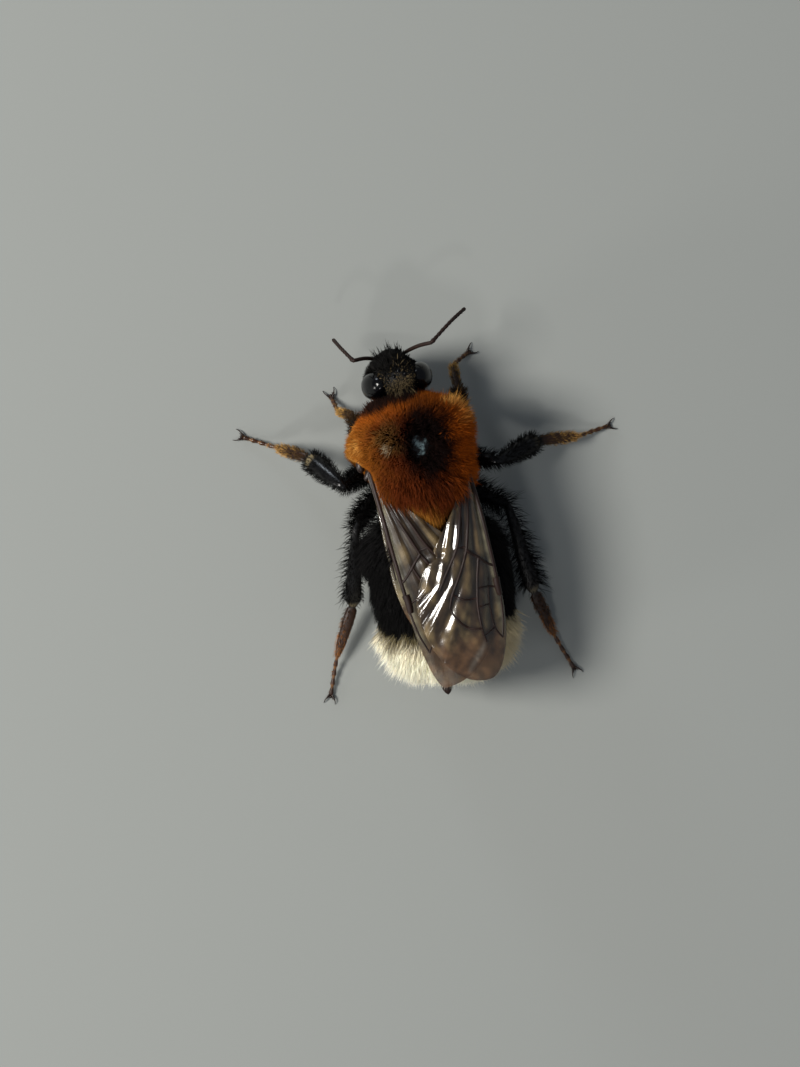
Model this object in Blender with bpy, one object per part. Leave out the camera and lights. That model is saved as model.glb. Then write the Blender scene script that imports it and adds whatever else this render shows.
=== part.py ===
"""A worker tree bumblebee as a still, life-size model: body, eyes, feelers, mouthparts, wings and six legs.

The bee faces -Y and stands on the floor, z = 0, with its left side at +X. The body pieces
are the outline of the coat, out to the tips of its hairs. Sizes here are in millimetres;
mesh_object() turns them into metres.
"""

import math

import bmesh
import bpy
from mathutils import Vector

MM = 0.001
GAP = 0.05  # air between two neighbouring pieces
CUTTER_GROWTH = 1.4 * GAP  # of a piece that is cut out of its neighbour: more than the gap, as faces are flat
WELD = 1e-6  # metres, under which two points are one
THINNEST = 0.5  # least thickness of feelers and feet
WING_DEPTH = 0.58  # measured straight up, so about 0.5 where a wing slopes
WING_LAYER = WING_DEPTH + 0.1  # from one wing to the wing that lies on it
FLOOR = 0.0

# Trunk: each egg has a front tip, a widest ring and a rear tip, as places along Y.
THORAX = dict(front=-2.6, widest=-0.3, rear=3.0, half_width=2.85, half_height=2.75, powers=(3.3, 1.65))
THORAX_AXIS = 4.4  # height of its centre line
FRINGE_RISE = 1.0  # how far the centre line climbs to the hair fringe over the waist
ABDOMEN = dict(front=1.9, widest=5.0, rear=9.9, half_width=3.15, half_height=2.6, powers=(2.4, 2.6))
ABDOMEN_AXIS = 3.6
TAIL_DROP = 0.85  # how far the centre line sinks towards the tail
ABDOMEN_SHIFT = -0.5  # the abdomen lies a little to the bee's right
TAIL_START = 7.35  # where the white hair begins, on the centre line
TAIL_SLANT = math.radians(20)  # its ring leans back, square to the drooping centre line
TAIL_TIP = dict(length=0.95, width=0.6, centre=(-0.08, 9.85, 2.85))

# Head, in its own frame: the origin is its centre, and the face looks along -Y.
HEAD_CENTRE = (0.05, -3.5, 3.45)
HEAD_TURN = math.radians(4)  # the bee looks a little to its left
HEAD = dict(front=-1.25, widest=-0.1, rear=0.95, half_width=1.52, half_height=1.9, powers=(2.6, 2.6))
CHIN_TAPER = 0.22  # share of width lost towards the mouth
FACE_TAPER = dict(share=0.3, start=0.1, length=0.6)  # width lost from the eyes forward to the face
EYE = dict(centre=(1.02, 0.15, 0.5), half_sizes=(0.52, 0.58, 1.0), lean=math.radians(8))
NECK = dict(start=(0.0, 0.45, 0.1), end=(-0.05, 1.6, 0.4), widths=(1.2, 1.3, 1.4))
SOCKET = (0.66, -0.98, 0.15)
MANDIBLE = dict(start=(0.62, -0.75, -1.75), end=(0.06, -1.12, -2.05), widths=(0.5, 0.45, 0.26))
TONGUE = dict(start=(0.0, -0.62, -2.1), end=(0.0, 1.25, -2.0), widths=(0.5, 0.55, 0.4))

# Feelers: steps of a limb are (length, bearing, height of the far end). A bearing of
# 0 degrees points ahead, 90 out to the limb's own side and 180 back.
SCAPE_LENGTH, FLAGELLUM_LENGTH = 1.5, 2.9
FEELER_POSES = {
    "left": ((83, 4.65), (18, 2.0)),
    "right": ((83, 4.65), (60, 2.85)),
}

# Legs: (length, widths at root, middle and tip) of each segment.
LEG_SIZES = {
    "fore": {
        "coxa": (0.92, (0.75, 0.8, 0.6)),
        "femur": (2.2, (0.5, 0.75, 0.55)),
        "tibia": (1.7, (0.52, 0.68, 0.72)),
        "basitarsus": (1.2, (0.52, 0.6, 0.5)),
        "tarsus": (1.1, (0.5, 0.5, 0.5)),
    },
    "mid": {
        "coxa": (0.94, (0.8, 0.85, 0.65)),
        "femur": (3.25, (0.6, 0.95, 0.6)),
        "tibia": (2.5, (0.6, 0.92, 0.98)),
        "basitarsus": (2.0, (0.66, 0.78, 0.56)),
        "tarsus": (1.55, (0.5, 0.5, 0.5)),
    },
    "hind": {
        "coxa": (1.08, (0.85, 0.9, 0.7)),
        "femur": (3.35, (0.6, 0.95, 0.6)),
        "tibia": (4.05, (0.6, 1.05, 1.1)),
        "basitarsus": (2.45, (0.85, 0.82, 0.55)),
        "tarsus": (1.7, (0.5, 0.5, 0.5)),
    },
}
LEG_ROOTS = {"fore": (0.5, -1.0, 2.0), "mid": (0.55, 0.1, 1.9), "hind": (0.55, 1.3, 2.0)}
TOE_HEIGHT = 0.2  # of the centre line at the toe, so the foot's sole is flat on the floor
# Bearings and end heights of coxa, femur, tibia, basitarsus and tarsus.
LEG_POSES = {
    "left_fore": ((50, 1.2), (115, 3.03), (0, 2.1), (61, 1.05), (11, TOE_HEIGHT)),
    "right_fore": ((50, 1.2), (86, 2.51), (8, 1.39), (2, 0.76), (61, TOE_HEIGHT)),
    "left_mid": ((80, 1.2), (112, 3.75), (38, 2.06), (60, 0.59), (63, TOE_HEIGHT)),
    "right_mid": ((80, 1.2), (105, 2.77), (73, 1.36), (93, 0.77), (81, TOE_HEIGHT)),
    "left_hind": ((75, 1.2), (135, 3.69), (173, 1.24), (155, 0.58), (163, TOE_HEIGHT)),
    "right_hind": ((75, 1.2), (119, 2.27), (171, 1.49), (161, 0.4), (157, TOE_HEIGHT)),
}
FLATNESS = 0.85  # a leg segment's thickness as a share of its width
CLAW_SPREAD, CLAW_LENGTH, CLAW_THICKNESS = 0.5, 0.34, 0.2

# Wings lie folded over the back, on a roof that falls away to the sides and the tail.
ROOF_HEIGHT, ROOF_FALL_BACK, ROOF_FALL_SIDE = 6.3, 0.015, 0.12
ROOT_DROP = 0.45  # the wing roots sit lower, on the thorax's sides
TEGULA = dict(centre=(2.42, -0.05, 5.25), half_sizes=(0.28, 0.42, 0.26))
FOREWING = dict(length=9.4, root_chord=0.5, chord=3.8, tip_inset=1.35, fullest=0.62)
LEFT_FOREWING = dict(FOREWING, length=9.7, tip_inset=0.7)  # drawn out under the right one
HINDWING = dict(length=6.6, root_chord=0.5, chord=1.95, tip_inset=0.9, fullest=0.5)
TIP_ROUNDNESS, TIP_CHORD = 2.0, 0.25  # a small flat end instead of a point
WING_SPANS, WING_STRIPS = 12, 4  # faces along and across a wing
WING_CROSSING = 0.3  # share of its length at which the upper wing has climbed over the lower one
# Root on the left side, bearing of the leading edge, height of its underside on the roof, outline.
WING_POSES = {
    "left_hindwing": ((1.95, 1.0), 183, -WING_LAYER, HINDWING),
    "right_hindwing": ((1.95, 1.0), 173, -WING_LAYER, HINDWING),
    "left_forewing": ((2.12, 0.4), 187.6, 0.0, LEFT_FOREWING),
    "right_forewing": ((2.2, 0.4), 175.2, WING_LAYER, FOREWING),
}

COLOURS = {  # base colour, roughness
    "ginger_hair": ((0.42, 0.13, 0.02, 1), 0.9),
    "black_hair": ((0.012, 0.011, 0.01, 1), 0.85),
    "white_hair": ((0.78, 0.73, 0.58, 1), 0.9),
    "black_chitin": ((0.015, 0.013, 0.012, 1), 0.3),
    "amber_chitin": ((0.16, 0.07, 0.025, 1), 0.4),
    "eye": ((0.01, 0.01, 0.012, 1), 0.12),
    "smoky_wing": ((0.13, 0.09, 0.06, 1), 0.25),
}


def superellipse(t, power):
    """1 in the middle and 0 at t = -1 and 1: a higher power gives blunter ends."""
    return max(0.0, 1 - abs(t) ** power) ** (1 / power)


def smoothstep(t):
    t = min(1.0, max(0.0, t))
    return t * t * (3 - 2 * t)


def material(name):
    found = bpy.data.materials.get(name)
    if found:
        return found
    colour, roughness = COLOURS[name]
    made = bpy.data.materials.new(name)
    made.use_nodes = True
    shader = made.node_tree.nodes["Principled BSDF"]
    shader.inputs["Base Color"].default_value = colour
    shader.inputs["Roughness"].default_value = roughness
    made.diffuse_color = colour
    return made


def collection(name):
    made = bpy.data.collections.new(name)
    bpy.context.scene.collection.children.link(made)
    return made


def mesh_object(name, bm, finish, parent, home):
    """An object of a closed bmesh in millimetres, which it frees."""
    bmesh.ops.recalc_face_normals(bm, faces=bm.faces)
    if bm.calc_volume(signed=True) < 0:
        bmesh.ops.reverse_faces(bm, faces=bm.faces)
    bmesh.ops.scale(bm, vec=(MM, MM, MM), verts=bm.verts)
    mesh = bpy.data.meshes.new(name)
    bm.to_mesh(mesh)
    bm.free()
    mesh.shade_smooth()
    mesh.set_sharp_from_angle(angle=math.radians(40))
    made = bpy.data.objects.new(name, mesh)
    if finish:
        made.data.materials.append(material(finish))
    made.parent = parent
    home.objects.link(made)
    return made


def sphere(segments, rings):
    """A unit sphere whose poles are at -Y and +Y."""
    bm = bmesh.new()
    bmesh.ops.create_uvsphere(bm, u_segments=segments, v_segments=rings, radius=1)
    for vert in bm.verts:
        vert.co = (vert.co.x, vert.co.z, -vert.co.y)
    return bm


def egg(front, widest, rear, half_width, half_height, powers, spine, segments=20, rings=12):
    """A closed egg along Y. spine(y) gives the x and z of its centre line."""
    bm = sphere(segments, rings)
    for vert in bm.verts:
        t = max(-1.0, min(1.0, vert.co.y))
        around = math.sqrt(max(1e-12, 1 - t * t))
        swell = superellipse(t, powers[0] if t < 0 else powers[1]) / around
        y = widest + t * ((widest - front) if t < 0 else (rear - widest))
        x, z = spine(y)
        vert.co = (x + vert.co.x * swell * half_width, y, z + vert.co.z * swell * half_height)
    return bm


def ellipsoid(centre, half_sizes, lean=0.0, segments=14, rings=9):
    """lean tips its top inwards, towards x = 0."""
    bm = sphere(segments, rings)
    slope = math.tan(lean)
    for vert in bm.verts:
        x, y, z = (c * h for c, h in zip(vert.co, half_sizes))
        vert.co = (centre[0] + x - math.copysign(slope, centre[0]) * z, centre[1] + y, centre[2] + z)
    return bm


def cut(bm, point, normal):
    """Keeps the side of a plane that its normal points to, and closes the cut."""
    parts = bm.verts[:] + bm.edges[:] + bm.faces[:]
    done = bmesh.ops.bisect_plane(
        bm, geom=parts, dist=1e-6, plane_co=point, plane_no=normal, clear_inner=True
    )
    rim = [e for e in done["geom_cut"] if isinstance(e, bmesh.types.BMEdge)]
    if rim:
        bmesh.ops.contextual_create(bm, geom=rim)


def limb(start, end, widths, flatness=1.0, overshoot=(0.0, 0.0), segments=8, rings=7):
    """A rounded limb segment that swells from its root width through its middle to its tip width."""
    along = end - start
    length = along.length + sum(overshoot)
    axis = along.normalized()
    start = start - axis * overshoot[0]
    level = axis.cross(Vector((0, 0, 1)))
    level = level.normalized() if level.length > 1e-6 else Vector((1, 0, 0))
    upright = level.cross(axis)
    root, middle, tip = widths
    bm = sphere(segments, rings)
    for vert in bm.verts:
        pole = max(-1.0, min(1.0, vert.co.y))
        t = 0.5 + math.asin(pole) / math.pi
        width = root * (1 - t) * (1 - 2 * t) + middle * 4 * t * (1 - t) + tip * t * (2 * t - 1)
        around = math.sqrt(max(1e-12, 1 - pole * pole))
        radius = 0.5 * width * superellipse(2 * t - 1, 4) / around
        vert.co = (
            start + axis * (t * length)
            + level * (vert.co.x * radius)
            + upright * (vert.co.z * radius * flatness)
        )
    return bm


def reach(start, side, steps):
    """Joint points of a limb that starts at a point and takes (length, bearing, end height) steps."""
    points = [Vector(start)]
    for length, bearing, height in steps:
        here = points[-1]
        run = math.sqrt(length**2 - (height - here.z) ** 2)
        angle = math.radians(bearing)
        points.append(Vector((
            here.x + side * run * math.sin(angle), here.y - run * math.cos(angle), height
        )))
    return points


def chain(points, widths, flatness, grow=0.0):
    """The segments of a limb, parted at each joint by a thin cut that halves its angle."""
    ways = [(b - a).normalized() for a, b in zip(points, points[1:])]
    made = []
    for i, (start, end) in enumerate(zip(points, points[1:])):
        wide = tuple(w + 2 * grow for w in widths[i])
        before = 0.5 * wide[0] if i else 0.0
        after = 0.5 * wide[2] if i < len(ways) - 1 else 0.0
        bm = limb(start, end, wide, flatness, (before, after))
        if before:
            normal = (ways[i - 1] + ways[i]).normalized()
            cut(bm, start + normal * (0.5 * GAP - grow), normal)
        if after:
            normal = -(ways[i] + ways[i + 1]).normalized()
            cut(bm, end + normal * (0.5 * GAP - grow), normal)
        made.append(bm)
    return made


def carve(body, neighbours, cutters):
    """Cuts neighbouring pieces, grown by the gap, out of a body piece."""
    graph = bpy.context.evaluated_depsgraph_get()
    for neighbour in neighbours:
        name = "cutter_" + neighbour.name
        cutter = cutters.objects.get(name)
        if cutter is None:
            bm = bmesh.new()
            bm.from_mesh(neighbour.evaluated_get(graph).to_mesh())
            bm.normal_update()
            shifts = [vert.normal * (CUTTER_GROWTH * MM) for vert in bm.verts]
            for vert, shift in zip(bm.verts, shifts):
                vert.co += shift
            mesh = bpy.data.meshes.new(name)
            bm.to_mesh(mesh)
            bm.free()
            cutter = bpy.data.objects.new(name, mesh)
            cutter.parent = neighbour.parent
            cutter.hide_render = True
            cutter.display_type = "WIRE"
            cutters.objects.link(cutter)
        boolean = body.modifiers.new(name, "BOOLEAN")
        boolean.operation = "DIFFERENCE"
        boolean.solver = "EXACT"
        boolean.object = cutter


def roof(x, y):
    """Height of the surface that the folded wings lie on."""
    side = x - ABDOMEN_SHIFT * smoothstep(y / 4)
    drop = ROOT_DROP * (1 - smoothstep(y / 3))
    return ROOF_HEIGHT - ROOF_FALL_BACK * max(0.0, y - 1) ** 2 - ROOF_FALL_SIDE * side**2 - drop


def wing(name, side, root, bearing, lift, shape, finish, parent, home):
    """A folded wing: an outline of given chords, laid on the roof and thickened upwards."""
    angle = math.radians(bearing)
    along = Vector((side * math.sin(angle), -math.cos(angle)))
    inwards = Vector((-side * abs(along.y), side * along.x * math.copysign(1, along.y)))
    fullest = shape["fullest"]
    bm = bmesh.new()
    bmesh.ops.create_grid(bm, x_segments=WING_SPANS, y_segments=WING_STRIPS, size=0.5)
    for vert in bm.verts:
        u, v = vert.co.x + 0.5, vert.co.y + 0.5
        past = max(0.0, (u - fullest) / (1 - fullest))
        inset, full = shape["tip_inset"], superellipse(past, TIP_ROUNDNESS)
        lead = inset * (1 - full)
        widening = smoothstep(u / fullest)
        trail = shape["root_chord"] + (shape["chord"] - shape["root_chord"]) * widening
        trail = inset + (trail - inset) * full + TIP_CHORD * (1 - full)
        place = Vector((side * root[0], root[1])) + along * (u * shape["length"])
        place += inwards * (lead + (trail - lead) * v)
        rise = lift * smoothstep(u / WING_CROSSING) if lift > 0 else lift
        vert.co = (place.x, place.y, roof(place.x, place.y) + rise)
    lower = bm.faces[:]
    upper = bmesh.ops.extrude_face_region(bm, geom=lower, use_keep_orig=True)["geom"]
    raised = [item for item in upper if isinstance(item, bmesh.types.BMVert)]
    bmesh.ops.translate(bm, vec=(0, 0, WING_DEPTH), verts=raised)
    return mesh_object(name, bm, finish, parent, home)


def trunk_spine(y):
    return 0.0, THORAX_AXIS + FRINGE_RISE * smoothstep(y / THORAX["rear"])


def abdomen_spine(y):
    back = (y - ABDOMEN["front"]) / (ABDOMEN["rear"] - ABDOMEN["front"])
    return ABDOMEN_SHIFT * smoothstep(2.5 * back), ABDOMEN_AXIS - TAIL_DROP * max(0.0, back) ** 2


def build_abdomen(parent, home):
    """The black part and the white tail are one egg parted by a thin cut."""
    point = Vector((ABDOMEN_SHIFT, TAIL_START, abdomen_spine(TAIL_START)[1]))
    back = Vector((0, math.cos(TAIL_SLANT), -math.sin(TAIL_SLANT)))
    made = []
    for name, finish, way in (("abdomen", "black_hair", -back), ("tail", "white_hair", back)):
        bm = egg(spine=abdomen_spine, rings=15, **ABDOMEN)
        cut(bm, point + way * (0.5 * GAP), way)
        made.append(mesh_object(name, bm, finish, parent, home))
    x, y, z = TAIL_TIP["centre"]
    half = Vector((0, 0.5 * TAIL_TIP["length"], 0))
    wide = TAIL_TIP["width"]
    tip = limb(Vector((x, y, z)) - half, Vector((x, y, z)) + half, (wide, wide, 0.7 * wide), FLATNESS)
    made.append(mesh_object("tail_tip", tip, "black_chitin", parent, home))
    return made


def build_head(parent, home):
    bm = egg(spine=lambda y: (0.0, 0.0), segments=18, rings=11, **HEAD)
    for vert in bm.verts:
        vert.co.x *= 1 - CHIN_TAPER * smoothstep(-vert.co.z / HEAD["half_height"])
        ahead = smoothstep((-vert.co.y - FACE_TAPER["start"]) / FACE_TAPER["length"])
        vert.co.x *= 1 - FACE_TAPER["share"] * ahead
    head = mesh_object("head", bm, "black_hair", parent, home)
    organs = []
    for name, side in (("left", 1), ("right", -1)):
        x, y, z = EYE["centre"]
        eye = ellipsoid((side * x, y, z), EYE["half_sizes"], EYE["lean"])
        organs.append(mesh_object(name + "_eye", eye, "eye", parent, home))
        start, end = (
            Vector((side * MANDIBLE[k][0], MANDIBLE[k][1], MANDIBLE[k][2])) for k in ("start", "end")
        )
        jaw = limb(start, end, MANDIBLE["widths"], FLATNESS, rings=6)
        organs.append(mesh_object(name + "_mandible", jaw, "black_chitin", parent, home))
    tongue = limb(Vector(TONGUE["start"]), Vector(TONGUE["end"]), TONGUE["widths"], FLATNESS)
    organs.append(mesh_object("proboscis", tongue, "amber_chitin", parent, home))
    stalk = limb(Vector(NECK["start"]), Vector(NECK["end"]), NECK["widths"])
    organs.append(mesh_object("neck", stalk, "black_hair", parent, home))
    return head, organs


def build_feelers(parent, home):
    made = []
    for name, side in (("left", 1), ("right", -1)):
        scape, flagellum = FEELER_POSES[name]
        level = HEAD_CENTRE[2]
        steps = [
            (SCAPE_LENGTH, scape[0], scape[1] - level),
            (FLAGELLUM_LENGTH, flagellum[0], flagellum[1] - level),
        ]
        points = reach((side * SOCKET[0], SOCKET[1], SOCKET[2]), side, steps)
        widths = [(THINNEST,) * 3, (THINNEST, THINNEST, 0.9 * THINNEST)]
        for part, bm in zip(("scape", "flagellum"), chain(points, widths, 1.0)):
            made.append(mesh_object(f"{name}_{part}", bm, "black_chitin", parent, home))
    return made


def claws(name, toe, way, parent, home):
    """Two claws as one bent horn, open to the front of the toe."""
    level = Vector((-way.y, way.x, 0)).normalized()
    ahead = Vector((way.x, way.y, 0)).normalized()
    base = toe + ahead * (GAP + 0.5 * CLAW_THICKNESS)
    low = Vector((0, 0, 0.5 * CLAW_THICKNESS - base.z))
    curve = bpy.data.curves.new(name, "CURVE")
    curve.dimensions = "3D"
    curve.bevel_depth = 0.5 * CLAW_THICKNESS * MM
    curve.bevel_resolution = 1
    curve.use_fill_caps = True
    spline = curve.splines.new("POLY")
    bend = (-1.0, -0.6, 0.0, 0.6, 1.0)
    spline.points.add(len(bend) - 1)
    for point, t in zip(spline.points, bend):
        place = base + level * (t * 0.5 * CLAW_SPREAD) + ahead * (CLAW_LENGTH * abs(t) ** 1.5)
        place += low * abs(t)
        point.co = (*(place * MM), 1)
        point.radius = 1.0 - 0.3 * abs(t)
    made = bpy.data.objects.new(name, curve)
    curve.materials.append(material("black_chitin"))
    weld = made.modifiers.new("close the ends", "WELD")
    weld.merge_threshold = WELD
    made.parent = parent
    home.objects.link(made)
    return made


def build_legs(parent, home):
    made = {}
    for name, pose in LEG_POSES.items():
        side = 1 if name.startswith("left") else -1
        kind = name.split("_")[1]
        x, y, z = LEG_ROOTS[kind]
        sizes = LEG_SIZES[kind]
        steps = [(size[0], *way) for size, way in zip(sizes.values(), pose)]
        points = reach((side * x, y, z), side, steps)
        solids = chain(points, [size[1] for size in sizes.values()], FLATNESS)
        for part, bm in zip(sizes, solids):
            cut(bm, Vector((0, 0, FLOOR)), Vector((0, 0, 1)))
            amber = part in ("basitarsus", "tarsus")
            finish = "amber_chitin" if amber else "black_chitin"
            made[f"{name}_{part}"] = mesh_object(f"{name}_{part}", bm, finish, parent, home)
        toe = points[-1]
        made[name + "_claws"] = claws(name + "_claws", toe, toe - points[-2], parent, home)
    return made


def build_wings(parent, home):
    made = []
    for name, (root, bearing, lift, shape) in WING_POSES.items():
        side = 1 if name.startswith("left") else -1
        made.append(wing(name, side, root, bearing, lift, shape, "smoky_wing", parent, home))
    for name, side in (("left_tegula", 1), ("right_tegula", -1)):
        x, y, z = TEGULA["centre"]
        shield = ellipsoid((side * x, y, z), TEGULA["half_sizes"], segments=10, rings=7)
        made.append(mesh_object(name, shield, "amber_chitin", parent, home))
    return made


def centre_on_floor(stand, parts):
    """Moves the whole bee so that the middle of its box is over the origin and its feet are on the floor."""
    bpy.context.view_layer.update()
    graph = bpy.context.evaluated_depsgraph_get()
    points = []
    for part in parts:
        shape = part.evaluated_get(graph)
        points += [part.matrix_world @ vert.co for vert in shape.to_mesh().vertices]
        shape.to_mesh_clear()
    for axis in (0, 1):
        places = [point[axis] for point in points]
        stand.location[axis] = -0.5 * (min(places) + max(places))
    stand.location.z = FLOOR - min(point.z for point in points)


def build():
    for old in list(bpy.data.objects):
        bpy.data.objects.remove(old)
    home = collection("bumblebee")
    cutters = collection("cutters")
    stand = bpy.data.objects.new("bee", None)
    home.objects.link(stand)
    neck = bpy.data.objects.new("head_turn", None)
    home.objects.link(neck)
    neck.parent = stand
    neck.location = Vector(HEAD_CENTRE) * MM
    neck.rotation_euler.z = HEAD_TURN

    thorax = mesh_object("thorax", egg(spine=trunk_spine, **THORAX), "ginger_hair", stand, home)
    abdomen, tail, tail_tip = build_abdomen(stand, home)
    head, organs = build_head(neck, home)
    feelers = build_feelers(neck, home)
    legs = build_legs(stand, home)
    wings = build_wings(stand, home)
    bpy.context.view_layer.update()

    scapes = [feeler for feeler in feelers if feeler.name.endswith("scape")]
    roots = [leg for name, leg in legs.items() if name.split("_")[2] in ("coxa", "femur", "tibia")]
    hind_legs = [legs[f"{s}_hind_{p}"] for s in ("left", "right") for p in ("femur", "tibia")]
    folded = [w for w in wings if w.name.endswith("wing")]
    carve(head, organs + scapes, cutters)
    carve(thorax, roots + wings + [stalk for stalk in organs if stalk.name == "neck"], cutters)
    carve(abdomen, [thorax] + hind_legs + folded, cutters)
    carve(tail, [tail_tip] + folded, cutters)
    centre_on_floor(stand, [o for o in home.objects if o.type != "EMPTY"])


build()
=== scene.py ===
"""The looks of a life-size tree bumblebee, a worker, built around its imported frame."""

import math

import bpy
import numpy as np
from mathutils import Matrix, Vector


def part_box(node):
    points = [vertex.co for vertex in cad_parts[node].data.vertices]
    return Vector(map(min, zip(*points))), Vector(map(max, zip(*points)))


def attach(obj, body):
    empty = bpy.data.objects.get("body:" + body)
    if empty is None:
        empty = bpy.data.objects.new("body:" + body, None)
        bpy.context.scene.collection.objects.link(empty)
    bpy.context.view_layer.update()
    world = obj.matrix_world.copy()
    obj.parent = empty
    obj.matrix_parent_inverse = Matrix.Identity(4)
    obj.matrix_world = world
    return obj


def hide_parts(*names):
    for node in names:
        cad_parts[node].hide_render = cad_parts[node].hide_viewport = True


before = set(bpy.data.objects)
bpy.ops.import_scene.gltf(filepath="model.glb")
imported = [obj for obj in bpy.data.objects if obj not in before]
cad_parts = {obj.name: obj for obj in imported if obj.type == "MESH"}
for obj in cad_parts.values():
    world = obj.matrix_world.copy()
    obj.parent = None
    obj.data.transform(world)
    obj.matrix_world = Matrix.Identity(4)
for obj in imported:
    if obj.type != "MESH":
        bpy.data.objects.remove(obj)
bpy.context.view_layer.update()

# ------------------------------------------------------------------ shell of the trunk
# The bee's hard shell, a thin black cuticle: head, neck, thorax, waist and abdomen grow
# together with no seam, and everything else is set into it or stands on it. It lies inside
# the outline of the coat by the length of the hair.
# All shapes are built in millimetres from a point on the floor under the thorax.

MM = 0.001
tip_low, tip_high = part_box("tail_tip")
TIP_CENTRE = Vector((-0.08, 9.85, 2.85))  # the one place that ties these millimetres to the frame
SHIFT = (tip_low + tip_high) / 2 - TIP_CENTRE * MM
TO_FRAME = Matrix.Translation(SHIFT) @ Matrix.Scale(MM, 4)

# Outline of the coat and, inside it, the shell: places along Y, half sizes and bluntness
# of the front and rear ends.
THORAX_COAT = dict(front=-2.6, widest=-0.3, rear=3.0, half=(2.85, 2.75), powers=(3.3, 1.65))
THORAX_SHELL = dict(front=-2.15, widest=-0.25, rear=2.15, half=(2.1, 1.98), powers=(2.9, 1.9))
ABDOMEN_COAT = dict(front=1.9, widest=5.0, rear=9.9, half=(3.15, 2.6), powers=(2.4, 2.6))
ABDOMEN_SHELL = dict(front=2.45, widest=4.9, rear=9.2, half=(2.55, 2.05), powers=(2.2, 2.2))
HEAD_COAT = dict(front=-1.25, widest=-0.1, rear=0.95, half=(1.52, 1.9), powers=(2.6, 2.6))
HEAD_SHELL = dict(front=-0.98, widest=-0.1, rear=0.74, half=(1.3, 1.68), powers=(2.5, 2.4))
HEAD_CENTRE = np.array((0.05, -3.5, 3.45))
HEAD_TURN = math.radians(4)
CHIN_TAPER, FACE_TAPER = 0.22, 0.3  # width lost towards the mouth, and forward of the eyes
# Rounded lumps that the shell flows over: centre and half sizes, the first three on the head.
CLYPEUS = ((0.0, -0.8, -0.62), (0.55, 0.42, 0.62))
MOUTH = ((0.0, -0.72, -1.45), (0.5, 0.35, 0.4))
CROWN = ((0.0, 0.05, 1.3), (0.75, 0.6, 0.5))
NECK = ((0.0, -2.35, 3.85), (0.7, 0.9, 0.7))
SCUTELLUM = ((0.0, 1.25, 5.35), (1.05, 0.75, 0.6))
WAIST = ((-0.1, 2.4, 3.5), (0.6, 0.7, 0.55))
RING_STEP, RING_PITCH = 0.03, 1.22  # each ring of the abdomen slides over the next
BALL = dict(front=-1.0, widest=0.0, rear=1.0, half=(1.0, 1.0), powers=(2.0, 2.0))
VOXEL = 0.085
SIDES = (("left", 1), ("right", -1))


def ease(t):
    """Goes smoothly from 0 to 1 while t does, and stays there."""
    t = np.clip(t, 0, 1)
    return t * t * (3 - 2 * t)


def thorax_spine(y):
    return 0 * y, 4.4 + ease(y / 3.0)


def shell_spine(y):
    return 0 * y, 4.35 + 0.35 * ease(y / 2.2)


def abdomen_spine(y):
    back = np.maximum(0, (y - 1.9) / 8.3)
    return -0.5 * ease(2.5 * back), 3.6 - 0.85 * back**2


def head_spine(y):
    return 0 * y, 0 * y


def swell(t, powers):
    """The share of its full width that an egg has at t, from -1 at the front to 1 at the rear."""
    power = np.where(t < 0, powers[0], powers[1])
    return np.maximum(0, 1 - np.abs(t) ** power) ** (1 / power)


def egg(shape, spine, rings=40, sides=48, ridges=0.0):
    """Points and faces of a closed egg along Y."""
    t = -np.cos(np.pi * np.arange(1, rings) / rings)
    y = shape["widest"] + t * np.where(
        t < 0, shape["widest"] - shape["front"], shape["rear"] - shape["widest"]
    )
    x0, z0 = spine(y)
    full = swell(t, shape["powers"]) * (1 + ridges * ((y - shape["front"]) / RING_PITCH % 1 - 0.5))
    around = 2 * np.pi * np.arange(sides) / sides
    x = x0[:, None] + shape["half"][0] * full[:, None] * np.cos(around)
    z = z0[:, None] + shape["half"][1] * full[:, None] * np.sin(around)
    points = np.stack([x, np.repeat(y[:, None], sides, 1), z], -1).reshape(-1, 3)
    ends = np.array([shape["front"], shape["rear"]], float)
    x1, z1 = spine(ends)
    points = np.vstack([points, np.stack([x1, ends, z1], -1)])
    return points, closed_rings(rings - 1, sides)


def closed_rings(rings, sides):
    """Faces of stacked rings of points, closed by fans to two last points, the start and the end."""
    faces = []
    for i in range(rings - 1):
        for j in range(sides):
            k = (j + 1) % sides
            faces.append((i * sides + k, i * sides + j, (i + 1) * sides + j, (i + 1) * sides + k))
    first, last, top = rings * sides, rings * sides + 1, (rings - 1) * sides
    for j in range(sides):
        k = (j + 1) % sides
        faces.append((j, k, first))
        faces.append((top + k, top + j, last))
    return faces


def lump(centre, half):
    """Points and faces of a rounded lump."""
    points, faces = egg(BALL, head_spine, 16, 24)
    return points * half + centre, faces


TURN = np.array((
    (math.cos(HEAD_TURN), -math.sin(HEAD_TURN), 0),
    (math.sin(HEAD_TURN), math.cos(HEAD_TURN), 0),
    (0, 0, 1),
))


def on_head(points):
    """From the head's own frame, with its face along -Y, to its place on the neck."""
    return np.asarray(points, float) @ TURN.T + HEAD_CENTRE


def in_head(points):
    """The other way: from the bee to the head's own frame."""
    return (np.asarray(points) - HEAD_CENTRE) @ TURN


def head_width(points):
    """The share of the head's width that its tapers leave."""
    chin = 1 - CHIN_TAPER * ease(-points[:, 2] / HEAD_COAT["half"][1])
    return chin * (1 - FACE_TAPER * ease((-points[:, 1] - 0.1) / 0.6))


def joined(parts):
    """Several (points, faces) as one."""
    points, faces, count = [], [], 0
    for some, shapes in parts:
        points.append(some)
        faces += [tuple(i + count for i in face) for face in shapes]
        count += len(some)
    return np.vstack(points), faces


def shown(name, data):
    """A new object in the scene."""
    made = bpy.data.objects.new(name, data)
    bpy.context.scene.collection.objects.link(made)
    return made


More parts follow.
